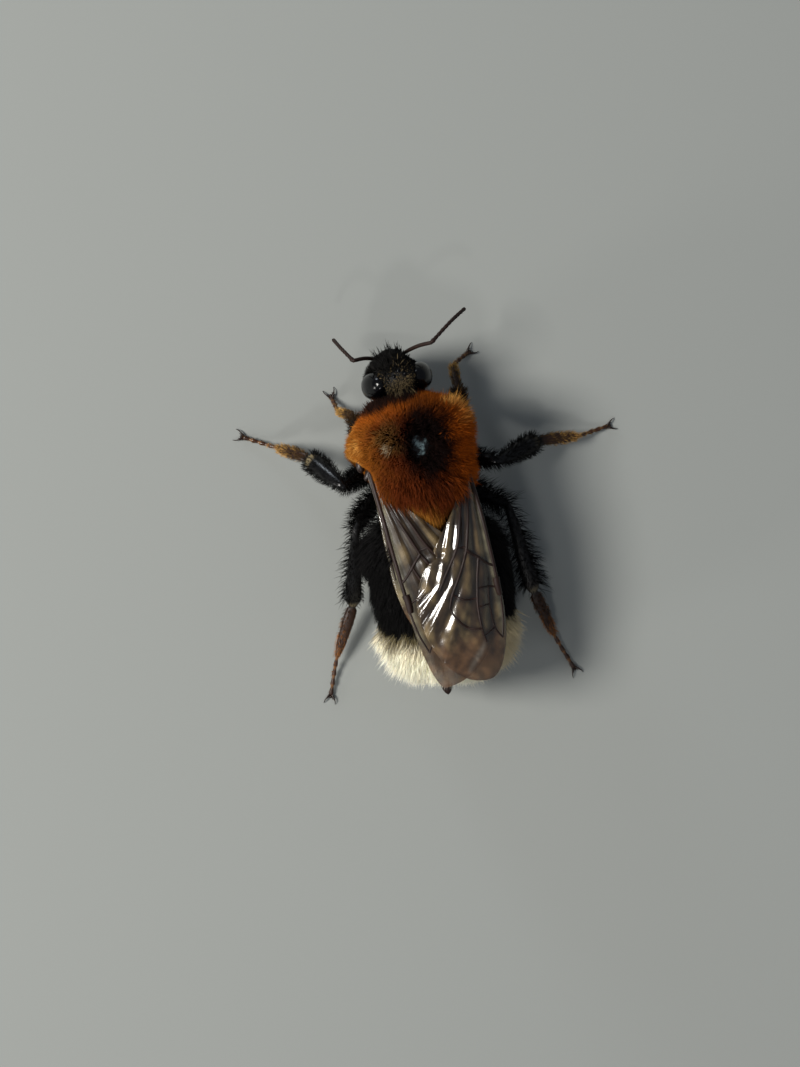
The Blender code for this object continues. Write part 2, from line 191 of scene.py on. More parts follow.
def new_object(name, points, faces, finish=None, edges=()):
    mesh = bpy.data.meshes.new(name)
    mesh.from_pydata(np.asarray(points).tolist(), edges, faces)
    mesh.shade_smooth()
    if finish:
        mesh.materials.append(finish)
    return shown(name, mesh)


def plain_mesh(obj):
    """The object's mesh with its modifiers done, which are then taken off."""
    graph = bpy.context.evaluated_depsgraph_get()
    graph.update()
    done = obj.evaluated_get(graph)
    obj.data = bpy.data.meshes.new_from_object(done, preserve_all_data_layers=True, depsgraph=graph)
    obj.modifiers.clear()
    return obj.data


def settle(obj, slot, *nodes):
    """Brings a piece built in millimetres to its place in the frame, where it rides on the bee."""
    plain_mesh(obj).transform(TO_FRAME)
    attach(obj, "root")
    if nodes:
        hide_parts(*nodes)


def piece(name, shape, finish, slot, *nodes):
    """A piece of the bee from the points and faces of its shape."""
    settle(new_object(name, *shape, finish), slot, *nodes)


head_points, head_faces = egg(HEAD_SHELL, head_spine)
head_points[:, 0] *= head_width(head_points) - 0.12 * ease((-head_points[:, 1] - 0.1) / 0.6)
lumps = [lump(*part) for part in (CLYPEUS, MOUTH, CROWN)]
trunk = new_object("trunk", *joined(
    [(on_head(head_points), head_faces)]
    + [(on_head(points), faces) for points, faces in lumps]
    + [lump(*part) for part in (NECK, SCUTELLUM, WAIST)]
    + [egg(THORAX_SHELL, shell_spine), egg(ABDOMEN_SHELL, abdomen_spine, 90, 64, RING_STEP)]
))
remesh = trunk.modifiers.new("one shell", "REMESH")
remesh.mode = "VOXEL"
remesh.voxel_size = VOXEL
soften = trunk.modifiers.new("flow", "SMOOTH")
soften.factor, soften.iterations = 0.5, 4
plain_mesh(trunk)


def arrays(mesh):
    """Points, normals and triangles of a mesh."""
    mesh.calc_loop_triangles()
    found = []
    for rows, key, kind in (
        (mesh.vertices, "co", float), (mesh.vertex_normals, "vector", float),
        (mesh.loop_triangles, "vertices", np.int64),
    ):
        values = np.zeros(len(rows) * 3, kind)
        rows.foreach_get(key, values)
        found.append(values.reshape(-1, 3))
    return found


trunk_arrays = arrays(trunk.data)
trunk_points, _, trunk_triangles = trunk_arrays
trunk_faces = [tuple(face.vertices) for face in trunk.data.polygons]
bpy.data.objects.remove(trunk)

# ------------------------------------------------------------------ colours of the coat
# Tree bumblebees wear a ginger thorax, a black head and abdomen and a white tail. On this
# worker the top of the thorax is worn bare: a dark ring of broken hair stands round a
# patch of naked, polished shell.

BALD_CENTRE, BALD_HALF = np.array((-0.22, -0.45)), np.array((0.3, 0.38))
SOOT_CENTRE, SOOT_HALF = np.array((-0.38, -0.5)), np.array((0.9, 1.22))
FADED_CENTRE, FADED_HALF = (0.85, -0.85), (0.4, 0.6)
DUSTY_CENTRE, DUSTY_HALF = (0.97, -0.6), (0.2, 0.13)
THORAX_FRONT, THORAX_REAR = -2.3, 2.35
TAIL_START, TAIL_SLANT = 6.75, math.radians(20)


def linear(code):
    """An sRGB hex colour as linear light."""
    parts = np.array([int(code[i:i + 2], 16) / 255 for i in (0, 2, 4)])
    return np.where(parts <= 0.04045, parts / 12.92, ((parts + 0.055) / 1.055) ** 2.4)


def mix(a, b, share):
    return a + (b - a) * np.asarray(share)[..., None]


def painted(colour, *layers):
    """The colour with layers over it: hex colours and how much of each shows."""
    for code, share in layers:
        colour = mix(colour, linear(code), share)
    return colour


def ripple(points, pitch):
    """A smooth, patchy number from about -1 to 1 that changes over a length in millimetres."""
    k = 2 * np.pi / pitch
    x, y, z = points[..., 0] * k, points[..., 1] * k, points[..., 2] * k
    return (np.sin(x + 1.7 * np.sin(0.6 * y + z)) + np.sin(1.3 * y + 1.9 * np.sin(0.7 * z - x))) / 2


def blot(points, centre, half, uneven, pitch):
    """0 at the middle of a patch of the back, 1 at its wandering rim."""
    ring = np.linalg.norm((points[..., :2] - centre) / half, axis=-1)
    return ring + uneven * ripple(points, pitch)


def baldness(points):
    """0 at the middle of the polished patch, 1 at its rim."""
    ring = blot(points, BALD_CENTRE, BALD_HALF, 0.25, 0.5)
    return np.where((points[..., 2] > 5.0) & (points[..., 1] > THORAX_FRONT), ring, 9.0)


def soot(points):
    """1 among the dark hairs round the patch, falling to 0 where the clean ginger begins."""
    ring = blot(points, SOOT_CENTRE, SOOT_HALF, 0.14, 0.8)
    return (1 - ease((ring - 0.7) / 0.65)) * ease((points[..., 2] - 5.0) / 0.4)


def tail_depth(points):
    """How far back a point is from the ring where the white hair begins."""
    z0 = abdomen_spine(np.array(TAIL_START))[1]
    along = (points[..., 1] - TAIL_START) * math.cos(TAIL_SLANT)
    return along - (points[..., 2] - z0) * math.sin(TAIL_SLANT) + 0.12 * ripple(points, 0.9)


def markings_and_painted_light(points):
    """The coat's colour at a place on the shell, with painted light and shade in it."""
    x, y, z = points[..., 0], points[..., 1], points[..., 2]
    cloud = 0.25 * ripple(points, 1.3)
    # Painted light: pale gold where light glows through the hair tips at the left edge and at the right
    # front corner.
    rim = 0.45 * ease((x - 1.9 + cloud) / 0.25) * ease((0.9 - np.abs(y + 0.8)) / 0.5)
    rim = np.maximum(rim, 0.72 * ease((-1.3 - x + cloud) / 0.5) * ease((-0.9 - y) / 0.6))
    faded = blot(points, FADED_CENTRE, FADED_HALF, 0.2, 0.6)
    dusty = blot(points, DUSTY_CENTRE, DUSTY_HALF, 0.2, 0.4)
    neck_shade = ease((-1.75 - y - 0.3 * ease(-x / 1.0) + 0.12 * ease(x / 1.5)) / 0.25)
    ginger = painted(
        linear("542206"),
        # The sides are painted lighter than the middle: painted light on the lit left side, and on the
        # right side, which the lamps leave in shade.
        ("6b3c0b", ease((x - 0.6 + cloud) / 1.4)),
        ("a24e0c", ease((-0.6 - x + cloud) / 1.2)),
        ("82400a", ease((-1.2 - y) / 0.6)),
        ("dca655", rim * ease((z - 3.8) / 0.8)),
        ("a8702a", ease((y - 1.25 + cloud) / 0.5)),
        ("54421f", 0.6 * (1 - ease((faded - 0.6) / 0.6)) * (z > 5)),
        ("8b8470", 0.7 * (1 - ease((dusty - 0.5) / 0.7)) * (z > 5)),
        # Black painted on the front of the thorax where it meets the head: painted shade at the neck.
        ("050303", 0.97 * neck_shade * ease((z - 3.7) / 0.5)),
        # Dark low on the flanks behind the wing roots: the bee's own blackish sides there, deepened as
        # painted shade under the wings.
        ("0d0a08", ease((y - 0.1) / 0.5) * ease((4.75 - z) / 0.4)),
        ("070303", 0.97 * soot(points)),
        ("0d0a08", ease((3.3 - z) / 0.7)),
    )
    white = painted(
        linear("665a34"),
        ("fff4d6", ease((tail_depth(points) - 0.05) / 0.4)),
        # Darker and warmer on the right side of the tail: painted shade.
        ("c9b890", ease((-0.9 - x) / 0.8)),
    )
    black = np.broadcast_to(linear("060505"), ginger.shape)
    rear = mix(black, white, ease((tail_depth(points) + 0.2) / 0.25))
    colour = np.where((y > THORAX_REAR)[..., None], rear, ginger)
    return np.where((y < THORAX_FRONT)[..., None], black, colour)


# ------------------------------------------------------------------ legs
# Six jointed legs of the same shell, drawn in at every joint: coxa, femur, tibia, broad
# basitarsus and four small tarsal rings. The hind tibia is flattened, with a fringe.

THIN = 0.11  # height of the toe's centre line, so that its sole is on the floor
SEGMENTS = {
    "fore": (0.92, 2.2, 1.7, 1.2, 1.1),
    "mid": (0.94, 3.25, 2.5, 2.0, 1.55),
    "hind": (1.08, 3.35, 4.05, 2.45, 1.7),
}
HIPS = {"fore": (0.5, -1.0, 2.0), "mid": (0.55, 0.1, 1.9), "hind": (0.55, 1.3, 2.0)}
STANCES = {  # bearing and end height of each segment
    "left_fore": ((50, 1.2), (115, 3.03), (0, 2.1), (61, 1.05), (11, 0.2)),
    "right_fore": ((50, 1.2), (86, 2.51), (8, 1.39), (2, 0.76), (61, 0.2)),
    "left_mid": ((80, 1.2), (112, 3.75), (38, 2.06), (60, 0.59), (63, 0.2)),
    "right_mid": ((80, 1.2), (105, 2.77), (73, 1.36), (93, 0.77), (81, 0.2)),
    "left_hind": ((75, 1.2), (135, 3.69), (173, 1.24), (155, 0.58), (163, 0.2)),
    "right_hind": ((75, 1.2), (119, 2.27), (171, 1.49), (161, 0.4), (157, 0.2)),
}
# Width of the shell at shares of each segment, and how flat it is.
COXA = ((0.0, 0.5), (0.4, 0.62), (0.8, 0.5), (0.97, 0.34))
TARSUS = tuple(
    (start + 0.25 * share, width)
    for start in (0.0, 0.25, 0.5, 0.75)
    for share, width in ((0.04, 0.11), (0.35, 0.15), (0.8, 0.2), (0.96, 0.17))
)
PROFILES = {  # of the three long segments between coxa and tarsus
    "fore": (
        (((0.03, 0.3), (0.12, 0.34), (0.2, 0.26), (0.3, 0.42), (0.55, 0.5), (0.85, 0.38), (0.97, 0.28)),
         0.9),
        (((0.03, 0.27), (0.12, 0.32), (0.5, 0.44), (0.85, 0.46), (0.96, 0.36)), 0.8),
        (((0.03, 0.2), (0.12, 0.28), (0.5, 0.32), (0.85, 0.3), (0.97, 0.2)), 0.7),
    ),
    "mid": (
        (((0.03, 0.32), (0.1, 0.38), (0.16, 0.3), (0.26, 0.56), (0.5, 0.72), (0.82, 0.52), (0.97, 0.36)),
         0.85),
        (((0.03, 0.34), (0.1, 0.46), (0.45, 0.74), (0.8, 0.84), (0.95, 0.7)), 0.72),
        (((0.03, 0.24), (0.1, 0.4), (0.4, 0.5), (0.8, 0.42), (0.97, 0.22)), 0.55),
    ),
    "hind": (
        (((0.03, 0.34), (0.1, 0.4), (0.16, 0.32), (0.26, 0.55), (0.5, 0.68), (0.82, 0.5), (0.97, 0.34)),
         0.85),
        (((0.03, 0.3), (0.08, 0.36), (0.35, 0.52), (0.7, 0.68), (0.92, 0.72), (0.985, 0.44)), 0.55),
        (((0.03, 0.28), (0.07, 0.46), (0.3, 0.5), (0.75, 0.4), (0.97, 0.22)), 0.5),
    ),
}
LEG_SIDES = 16


def reach(start, side, steps):
    """Joints of a limb that takes (length, bearing, end height) steps: 0 is ahead, 90 outwards."""
    points = [np.array(start, float)]
    for length, bearing, height in steps:
        x, y, z = points[-1]
        run = math.sqrt(length**2 - (height - z) ** 2)
        angle = math.radians(bearing)
        points.append(np.array((x + side * run * math.sin(angle), y - run * math.cos(angle), height)))
    return points


def unit(vectors):
    return vectors / np.maximum(np.linalg.norm(vectors, axis=-1, keepdims=True), 1e-12)


def loft(path, widths, heights=None, sides=12, up=(0.0, 0.0, 1.0)):
    """A closed tube through the points of a path, rounded off at both ends."""
    path = np.asarray(path, float)
    widths = np.asarray(widths, float)
    heights = widths if heights is None else np.asarray(heights, float)
    along = unit(np.gradient(path, axis=0))
    level = unit(np.cross(along, np.asarray(up, float)))
    upright = np.cross(level, along)
    around = 2 * np.pi * np.arange(sides) / sides
    rings = (
        path[:, None]
        + level[:, None] * (np.cos(around) * widths[:, None] / 2)[..., None]
        + upright[:, None] * (np.sin(around) * heights[:, None] / 2)[..., None]
    )
    ends = np.stack([path[0] - along[0] * widths[0] * 0.3, path[-1] + along[-1] * widths[-1] * 0.3])
    return np.vstack([rings.reshape(-1, 3), ends]), closed_rings(len(path), sides)


def side_of(name):
    return 1 if name.startswith("left") else -1


def leg_joints(name):
    side, kind = side_of(name), name.split("_")[1]
    x, y, z = HIPS[kind]
    joints = reach((side * x, y, z), side, [(s, *way) for s, way in zip(SEGMENTS[kind], STANCES[name])])
    joints[-1][2] = THIN
    return joints


legs, leg_places = {}, {}
for leg in STANCES:
    joints, path, widths, heights, places = leg_joints(leg), [], [], [], []
    for i, (profile, flatness) in enumerate(((COXA, 1.0), *PROFILES[leg.split("_")[1]], (TARSUS, 0.9))):
        for share, width in profile:
            point = joints[i] + (joints[i + 1] - joints[i]) * share
            if i == 4:  # the tarsus sags on to the floor
                point[2] -= 0.35 * (point[2] - THIN) * math.sin(math.pi * share)
            path.append(point)
            widths.append(width)
            heights.append(width * flatness)
            places.append(i + share)
    legs[leg] = loft(path, widths, heights, LEG_SIDES)
    around = np.tile(np.arange(LEG_SIDES) / LEG_SIDES, len(path))
    leg_places[leg] = np.stack([
        np.append(np.repeat(places, LEG_SIDES), (0.0, 5.0)), np.append(around, (0.0, 0.0))
    ], -1)


def leg_colour(place, pale):
    """Colour of a leg's shell, from 0 at the hip to 5 at the toe, with a pale spot on the tibia's end."""
    s = place[..., 0]
    spot = np.exp(-(((s - 2.97) / 0.03) ** 2)) * np.maximum(0, np.sin(2 * np.pi * place[..., 1])) ** 2
    ring = np.abs((s - 4) * 4 - np.round((s - 4) * 4)) * (s > 3.9) + (s <= 3.9)
    return painted(
        linear("070606"),
        ("2c1a10", ease((s - 3.0) / 0.1)),
        ("d8c294", pale * spot),
        ("2d170e", ease((s - 4.0) / 0.1) * (1 - ease((s - 4.7) / 0.2))),
        ("704c28", np.exp(-((ring / 0.14) ** 2)) * (s < 4.8)),
    )


# ------------------------------------------------------------------ one skin
# Shell of the trunk and the six legs as one piece. Chitin: hard, finely pitted, and
# polished only where the hair is worn off.

skin = new_object("skin", *joined([(trunk_points, trunk_faces), *legs.values()]))
skin_colour = np.vstack(
    [markings_and_painted_light(trunk_points) * np.where(trunk_points[:, 1:2] > 7, 0.8, 0.4)]
    + [leg_colour(leg_places[leg], 0.8 if leg == "left_mid" else 0.2) for leg in STANCES]
)
bare = baldness(trunk_points)
# On the bare patch the polished shell is painted blue-grey in specks, a painted reflection of the sky,
# darkening out to the ring of broken hair.
glint_specks = ripple(trunk_points, 0.6) + 0.5 * ripple(trunk_points, 0.26)
bare_shell_and_glint = painted(
    linear("6f8286"), ("0b0a0a", ease(1.2 * glint_specks + 0.6)), ("0b0a0a", ease((bare - 0.7) / 0.4))
)
skin_colour[: len(bare)] = np.where(bare[:, None] < 1.6, bare_shell_and_glint, skin_colour[: len(bare)])
plate = np.linalg.norm((in_head(trunk_points) - CLYPEUS[0]) / (0.5, 0.5, 0.62), axis=1)
shine = np.maximum(1 - ease((bare - 1.0) / 0.5), 1 - ease((plate - 0.8) / 0.3))
polish = [shine] + [np.full(len(leg_places[leg]), 0.95 if "mid" in leg else 0.4) for leg in STANCES]


def set_colour(mesh, name, colours):
    layer = mesh.color_attributes.new(name, "FLOAT_COLOR", "POINT")
    layer.data.foreach_set("color", np.column_stack([colours, np.ones(len(colours))]).ravel())


def node(tree, kind, inputs=None, **settings):
    """Adds a node, with its settings and the values or links of its inputs."""
    made = tree.nodes.new(kind)
    for name, value in settings.items():
        setattr(made, name, value)
    for key, value in (inputs or {}).items():
        if isinstance(value, bpy.types.NodeSocket):
            tree.links.new(value, made.inputs[key])
        else:
            made.inputs[key].default_value = value
    return made


def new_material(name, **constants):
    """A Principled material and its shader node; constants are set on the shader's own sockets."""
    made = bpy.data.materials.new(name)
    made.use_nodes = True
    shader = made.node_tree.nodes["Principled BSDF"]
    for key, value in constants.items():
        shader.inputs[key.replace("_", " ")].default_value = value
    return made, made.node_tree, shader


def rgba(code):
    return (*linear(code), 1.0)


set_colour(skin.data, "markings_and_painted_light", skin_colour)
skin.data.attributes.new("polish", "FLOAT", "POINT").data.foreach_set("value", np.concatenate(polish))

# Chitin: dark, with a waxy shine broken by pits about 0.03 mm apart.
chitin, tree, shader = new_material("pitted chitin", IOR=1.55, Specular_IOR_Level=0.3)
colour = node(tree, "ShaderNodeAttribute", attribute_name="markings_and_painted_light")
shine = node(tree, "ShaderNodeAttribute", attribute_name="polish")
dull = node(tree, "ShaderNodeMapRange", {"Value": shine.outputs["Fac"], "To Min": 0.7, "To Max": 0.2})
place = node(tree, "ShaderNodeTexCoord")
pits = node(tree, "ShaderNodeTexVoronoi", {"Vector": place.outputs["Object"], "Scale": 1 / (0.05 * MM)})
bump = node(tree, "ShaderNodeBump", {
    "Height": pits.outputs["Distance"], "Strength": 0.25, "Distance": 0.01 * MM
})
tree.links.new(colour.outputs["Color"], shader.inputs["Base Color"])
tree.links.new(dull.outputs["Result"], shader.inputs["Roughness"])
tree.links.new(bump.outputs["Normal"], shader.inputs["Normal"])
skin.data.materials.append(chitin)
settle(
    skin, "black_coat", "head", "neck", "thorax", "abdomen", "tail",
    *[f"{leg}_{part}" for leg in STANCES for part in ("coxa", "femur", "tibia", "basitarsus", "tarsus")],
)

# ------------------------------------------------------------------ eyes
# Two long compound eyes of some thousands of lenses, black and glassy, and three small
# simple eyes on the crown. All are set into the shell of the head.

EYE_CENTRE, EYE_HALF, EYE_LEAN = (0.98, 0.15, 0.5), (0.55, 0.6, 1.02), math.radians(8)
OCELLI = ((0.0, -0.24, 1.72), (0.24, -0.06, 1.75), (-0.24, -0.06, 1.75))
OCELLUS = 0.09

# Lens cuticle: clear and smooth over black, with facets 0.03 mm across.
eye_black, tree, shader = new_material(
    "faceted lens cuticle", Base_Color=rgba("030304"), Roughness=0.16, IOR=1.4, Specular_IOR_Level=0.35
)
place = node(tree, "ShaderNodeTexCoord")
facets = node(tree, "ShaderNodeTexVoronoi", {
    "Vector": place.outputs["Object"], "Scale": 1 / (0.035 * MM)
})
bump = node(tree, "ShaderNodeBump", {
    "Height": facets.outputs["Distance"], "Strength": 0.12, "Distance": 0.006 * MM
}, invert=True)
tree.links.new(bump.outputs["Normal"], shader.inputs["Normal"])

for name, side in SIDES:
    points, faces = egg(dict(BALL, powers=(2.15, 2.15)), head_spine, 40, 64)
    points *= EYE_HALF
    points[:, 0] -= side * math.tan(EYE_LEAN) * points[:, 2]
    points += (side * EYE_CENTRE[0], EYE_CENTRE[1], EYE_CENTRE[2])
    piece(f"{name}_compound_eye", (on_head(points), faces), eye_black, "compound_eye", f"{name}_eye")

beads = [lump(spot, (OCELLUS,) * 3) for spot in OCELLI]
beads = joined([(on_head(points), faces) for points, faces in beads])
piece("ocelli", beads, eye_black, "compound_eye")

# ------------------------------------------------------------------ feelers
# Each feeler is a long bowed scape and, past the elbow, a pedicel and ten barrel-shaped
# rings of dark, finely furred cuticle.

SOCKET, SOCKET_PIT = (0.66, -0.98, 0.15), (0.33, -0.8, -0.02)
FEELERS = {  # bearing and end height of the scape, then of the flagellum
    "left": ((83, 4.65), (18, 2.0)),
    "right": ((83, 4.65), (60, 2.85)),
}
SCAPE, FLAGELLUM, RINGS = 1.5, 2.9, 10

def cuticle(name, dark, light, pitch, detail=2.0, **constants):
    """A cuticle that wanders from a dark to a light tone over a pitch in millimetres."""
    made, tree, shader = new_material(name, **constants)
    place = node(tree, "ShaderNodeTexCoord")
    grain = node(tree, "ShaderNodeTexNoise", {
        "Vector": place.outputs["Object"], "Scale": 1 / (pitch * MM), "Detail": detail
    })
    tone = node(tree, "ShaderNodeMix", {
        "Factor": grain.outputs["Fac"], "A": rgba(dark), "B": rgba(light)
    }, data_type="RGBA")
    tree.links.new(tone.outputs[2], shader.inputs["Base Color"])
    return made, tree, shader, grain


# Feeler cuticle: brown-black, dulled by a plush of hairs too short to see.
feeler_black = cuticle(
    "plush feeler cuticle", "0c0705", "2c1810", 0.12, Roughness=0.6, IOR=1.5, Specular_IOR_Level=0.25
)[0]


def smooth_path(points, steps):
    """A curve through the points."""
    points = np.asarray(points, float)
    padded = np.vstack([2 * points[0] - points[1], points, 2 * points[-1] - points[-2]])
    made = []
    for i in range(len(points) - 1):
        a, b, c, d = padded[i:i + 4]
        for t in np.arange(steps) / steps:
            made.append(0.5 * (
                2 * b + (c - a) * t + (2 * a - 5 * b + 4 * c - d) * t**2 + (3 * b - a - 3 * c + d) * t**3
            ))
    return np.array(made + [points[-1]])


def new_tree(name, **sizes):
    """An empty geometry tree with a Geometry input, named sizes and a Geometry output."""
    tree = bpy.data.node_groups.new(name, "GeometryNodeTree")
    tree.interface.new_socket("Geometry", in_out="INPUT", socket_type="NodeSocketGeometry")
    ids = {}
    for label, kind in sizes.items():
        socket = tree.interface.new_socket(label.replace("_", " "), in_out="INPUT", socket_type=kind)
        ids[label] = socket.identifier
    tree.interface.new_socket("Geometry", in_out="OUTPUT", socket_type="NodeSocketGeometry")
    return tree, tree.nodes.new("NodeGroupInput"), ids


def end_tree(tree, given, geometry):
    """Makes the copies real, gives them their finish and hands them on."""
    whole = node(tree, "GeometryNodeRealizeInstances", {"Geometry": geometry})
    finish = node(tree, "GeometryNodeSetMaterial", {
        "Geometry": whole.outputs["Geometry"], "Material": given.outputs["Finish"]
    })
    node(tree, "NodeGroupOutput", {0: finish.outputs["Geometry"]})


def run_tree(obj, tree, ids, **sizes):
    """Puts an object's lines through a geometry tree."""
    run = obj.modifiers.new(tree.name, "NODES")
    run.node_group = tree
    for label, value in sizes.items():
        run[ids[label]] = value
    plain_mesh(obj)
    obj.data.shade_smooth()


# Rings along a feeler: copies of one ring, turned to follow the line that they sit on.
ring_tree, given, ring_sizes = new_tree(
    "feeler rings", Ring="NodeSocketObject", Count="NodeSocketInt", Finish="NodeSocketMaterial"
)
line = node(ring_tree, "GeometryNodeMeshToCurve", {"Mesh": given.outputs["Geometry"]})
spots = node(ring_tree, "GeometryNodeCurveToPoints", {
    "Curve": line.outputs["Curve"], "Count": given.outputs["Count"]
})
one_ring = node(ring_tree, "GeometryNodeObjectInfo", {"Object": given.outputs["Ring"]})
strung = node(ring_tree, "GeometryNodeInstanceOnPoints", {
    "Points": spots.outputs["Points"], "Instance": one_ring.outputs["Geometry"],
    "Rotation": spots.outputs["Rotation"],
})
end_tree(ring_tree, given, strung.outputs["Instances"])

pitch = FLAGELLUM / (RINGS + 1)
ring = new_object("ring", *loft(
    [(0, 0, h * pitch) for h in (-0.5, -0.42, -0.2, 0.1, 0.35, 0.46)],
    (0.125, 0.15, 0.165, 0.17, 0.16, 0.135), up=(0, 1, 0),
))

for name, side in SIDES:
    root, elbow, end = reach(
        np.multiply(SOCKET, (side, 1, 1)), side,
        [
            (length, bearing, height - HEAD_CENTRE[2])
            for length, (bearing, height) in zip((SCAPE, FLAGELLUM), FEELERS[name])
        ],
    )
    bow = (root + elbow) / 2 + np.array((0, -0.06, 0.05))
    path = smooth_path([np.multiply(SOCKET_PIT, (side, 1, 1)), root, bow, elbow], 8)
    share = np.linspace(0, 1, len(path))
    knob = 0.2 * np.exp(-(((share - 0.02) / 0.05) ** 2)) * 0.5
    scape = loft(on_head(path), 0.12 + 0.05 * ease(share / 0.5) + knob, sides=14)
    piece(f"{name}_scape_rod", scape, feeler_black, "black_cuticle", f"{name}_scape")

    sag = (elbow + end) / 2 + np.array((side * 0.1, -0.12, 0.12))
    path = smooth_path([elbow, sag, end], 12)
    gaps = np.linalg.norm(np.diff(path, axis=0), axis=1)
    walked = np.append(0, np.cumsum(gaps))
    stations = np.linspace(1.3 * pitch, walked[-1] - 0.6 * pitch, 24)
    path = np.stack([np.interp(stations, walked, path[:, i]) for i in range(3)], -1)
    edges = [(i, i + 1) for i in range(len(path) - 1)]
    whip = new_object(f"{name}_flagellum_rings", on_head(path), (), None, edges)
    run_tree(whip, ring_tree, ring_sizes, Ring=ring, Count=RINGS, Finish=feeler_black)
    settle(whip, "black_cuticle", f"{name}_flagellum")

    first = elbow + (path[0] - elbow) * 0.75
    path = on_head(smooth_path([elbow, (elbow + first) / 2, first], 3))
    pedicel = loft(path, (0.14, 0.17, 0.2, 0.21, 0.2, 0.19, 0.15))
    piece(f"{name}_pedicel", pedicel, feeler_black, "black_cuticle")
bpy.data.objects.remove(ring)

# ------------------------------------------------------------------ mouthparts
# Two broad jaws close over the mouth, and the long tongue is folded back under the head in
# its amber sheath.

# Polished cuticle of jaws and claws: brown-black, glossy, scratched with use.
jaw_brown, tree, shader, streaks = cuticle(
    "polished dark cuticle", "050303", "2a160c", 0.1, 4.0, Roughness=0.38, IOR=1.5,
    Specular_IOR_Level=0.35,
)
bump = node(tree, "ShaderNodeBump", {
    "Height": streaks.outputs["Fac"], "Strength": 0.2, "Distance": 0.01 * MM
})
tree.links.new(bump.outputs["Normal"], shader.inputs["Normal"])

# Amber cuticle: thin enough to glow brown.
amber = cuticle(
    "amber cuticle", "3a1a0b", "8a4a1c", 0.25, Roughness=0.3, IOR=1.55, Subsurface_Weight=0.2,
    Subsurface_Scale=0.05 * MM,
)[0]

JAW = ((0.5, -0.5, -1.3), (0.47, -0.78, -1.6), (0.28, -0.92, -1.78), (0.04, -0.96, -1.83))
for name, side in SIDES:
    path = smooth_path(np.multiply(JAW, (side, 1, 1)), 4)
    share = np.linspace(0, 1, len(path))
    jaw = loft(on_head(path), 0.5 - 0.3 * share, 0.3 - 0.16 * share, 14, up=(0, 1, 0.3))
    piece(f"{name}_jaw", jaw, jaw_brown, "black_cuticle", f"{name}_mandible")

path = smooth_path([(0, -0.62, -1.98), (0, -0.2, -2.1), (0, 0.5, -2.08), (0, 1.15, -1.95)], 6)
share = np.linspace(0, 1, len(path))
sheath = [
    loft(on_head(path + np.array((x, 0, 0))), 0.22 - 0.1 * share, 0.26 - 0.14 * share, 12)
    for x in (-0.09, 0.09)
]
sheath.append(loft(on_head(path - np.array((0, 0, 0.07))), 0.14 - 0.06 * share, None, 10))
piece("tongue_sheath", joined(sheath), amber, "brown_cuticle", "proboscis")

# ------------------------------------------------------------------ wings
# Folded wings of clear, smoke-brown film, pleated between dark veins. The right forewing
# lies on the left one, and the two small hindwings lie under them.

ROOF = dict(height=6.3, back=0.015, side=0.12, root_drop=0.45)
FORE = dict(length=9.3, root=0.42, chord=3.7, inset=1.3, fullest=0.62, notch=0.4)
HIND = dict(length=6.5, root=0.4, chord=1.85, inset=0.85, fullest=0.5, notch=0.7)
WINGS = {  # root on the bee's side, bearing of the leading edge, height over the roof
    "left_hindwing": ((1.95, 1.0), 183, -0.2, HIND),
    "right_hindwing": ((1.95, 1.0), 173, -0.2, HIND),
    "left_forewing": ((2.12, 0.4), 187.6, 0.12, dict(FORE, length=9.65, inset=0.65)),
    "right_forewing": ((2.2, 0.42), 175.2, 0.5, FORE),
}
FILM, FLUTE = 0.03, 0.64  # thickness of the film, and pitch of its flutes where the spread is 1
NO_WING = 99.0


def roof(x, y):
    """Height of the bee's back, over which the wings lie."""
    side = x + 0.5 * ease(y / 4)
    drop = ROOF["root_drop"] * (1 - ease(y / 3))
    return ROOF["height"] - ROOF["back"] * np.maximum(0, y - 1) ** 2 - ROOF["side"] * side**2 - drop


def wing_axes(name):
    root, bearing, _, shape = WINGS[name]
    side = side_of(name)
    angle = math.radians(bearing)
    along = np.array((side * math.sin(angle), -math.cos(angle)))
    inwards = np.array((-side * abs(along[1]), side * along[0] * math.copysign(1, along[1])))
    return np.array((side * root[0], root[1])), along, inwards, shape


def wing_edges(shape, u):
    """Where the leading and trailing edges are, across the wing, at shares of its length."""
    past = np.clip((u - shape["fullest"]) / (1 - shape["fullest"]), 0, 1)
    full = np.sqrt(1 - past**2)
    wide = shape["root"] + (shape["chord"] - shape["root"]) * ease(u / shape["fullest"])
    wide = wide - 0.09 * shape["chord"] * np.exp(-(((u - shape["notch"]) / 0.022) ** 2))
    lead = shape["inset"] * (1 - full) - 0.05 * np.sin(np.pi * u)
    return lead, shape["inset"] + (wide - shape["inset"]) * full + 0.12 * (1 - full)


def flutes(shape, u, c):
    """The wing's scale, how far its flutes have spread, and how far round them a place is."""
    scale = shape["chord"] / FORE["chord"]
    spread = (0.19 + 1.5 * u + 2.6 * np.maximum(0, u - 0.53)) * scale
    return scale, spread, 2 * np.pi * (c / spread - 0.8) / FLUTE + np.pi


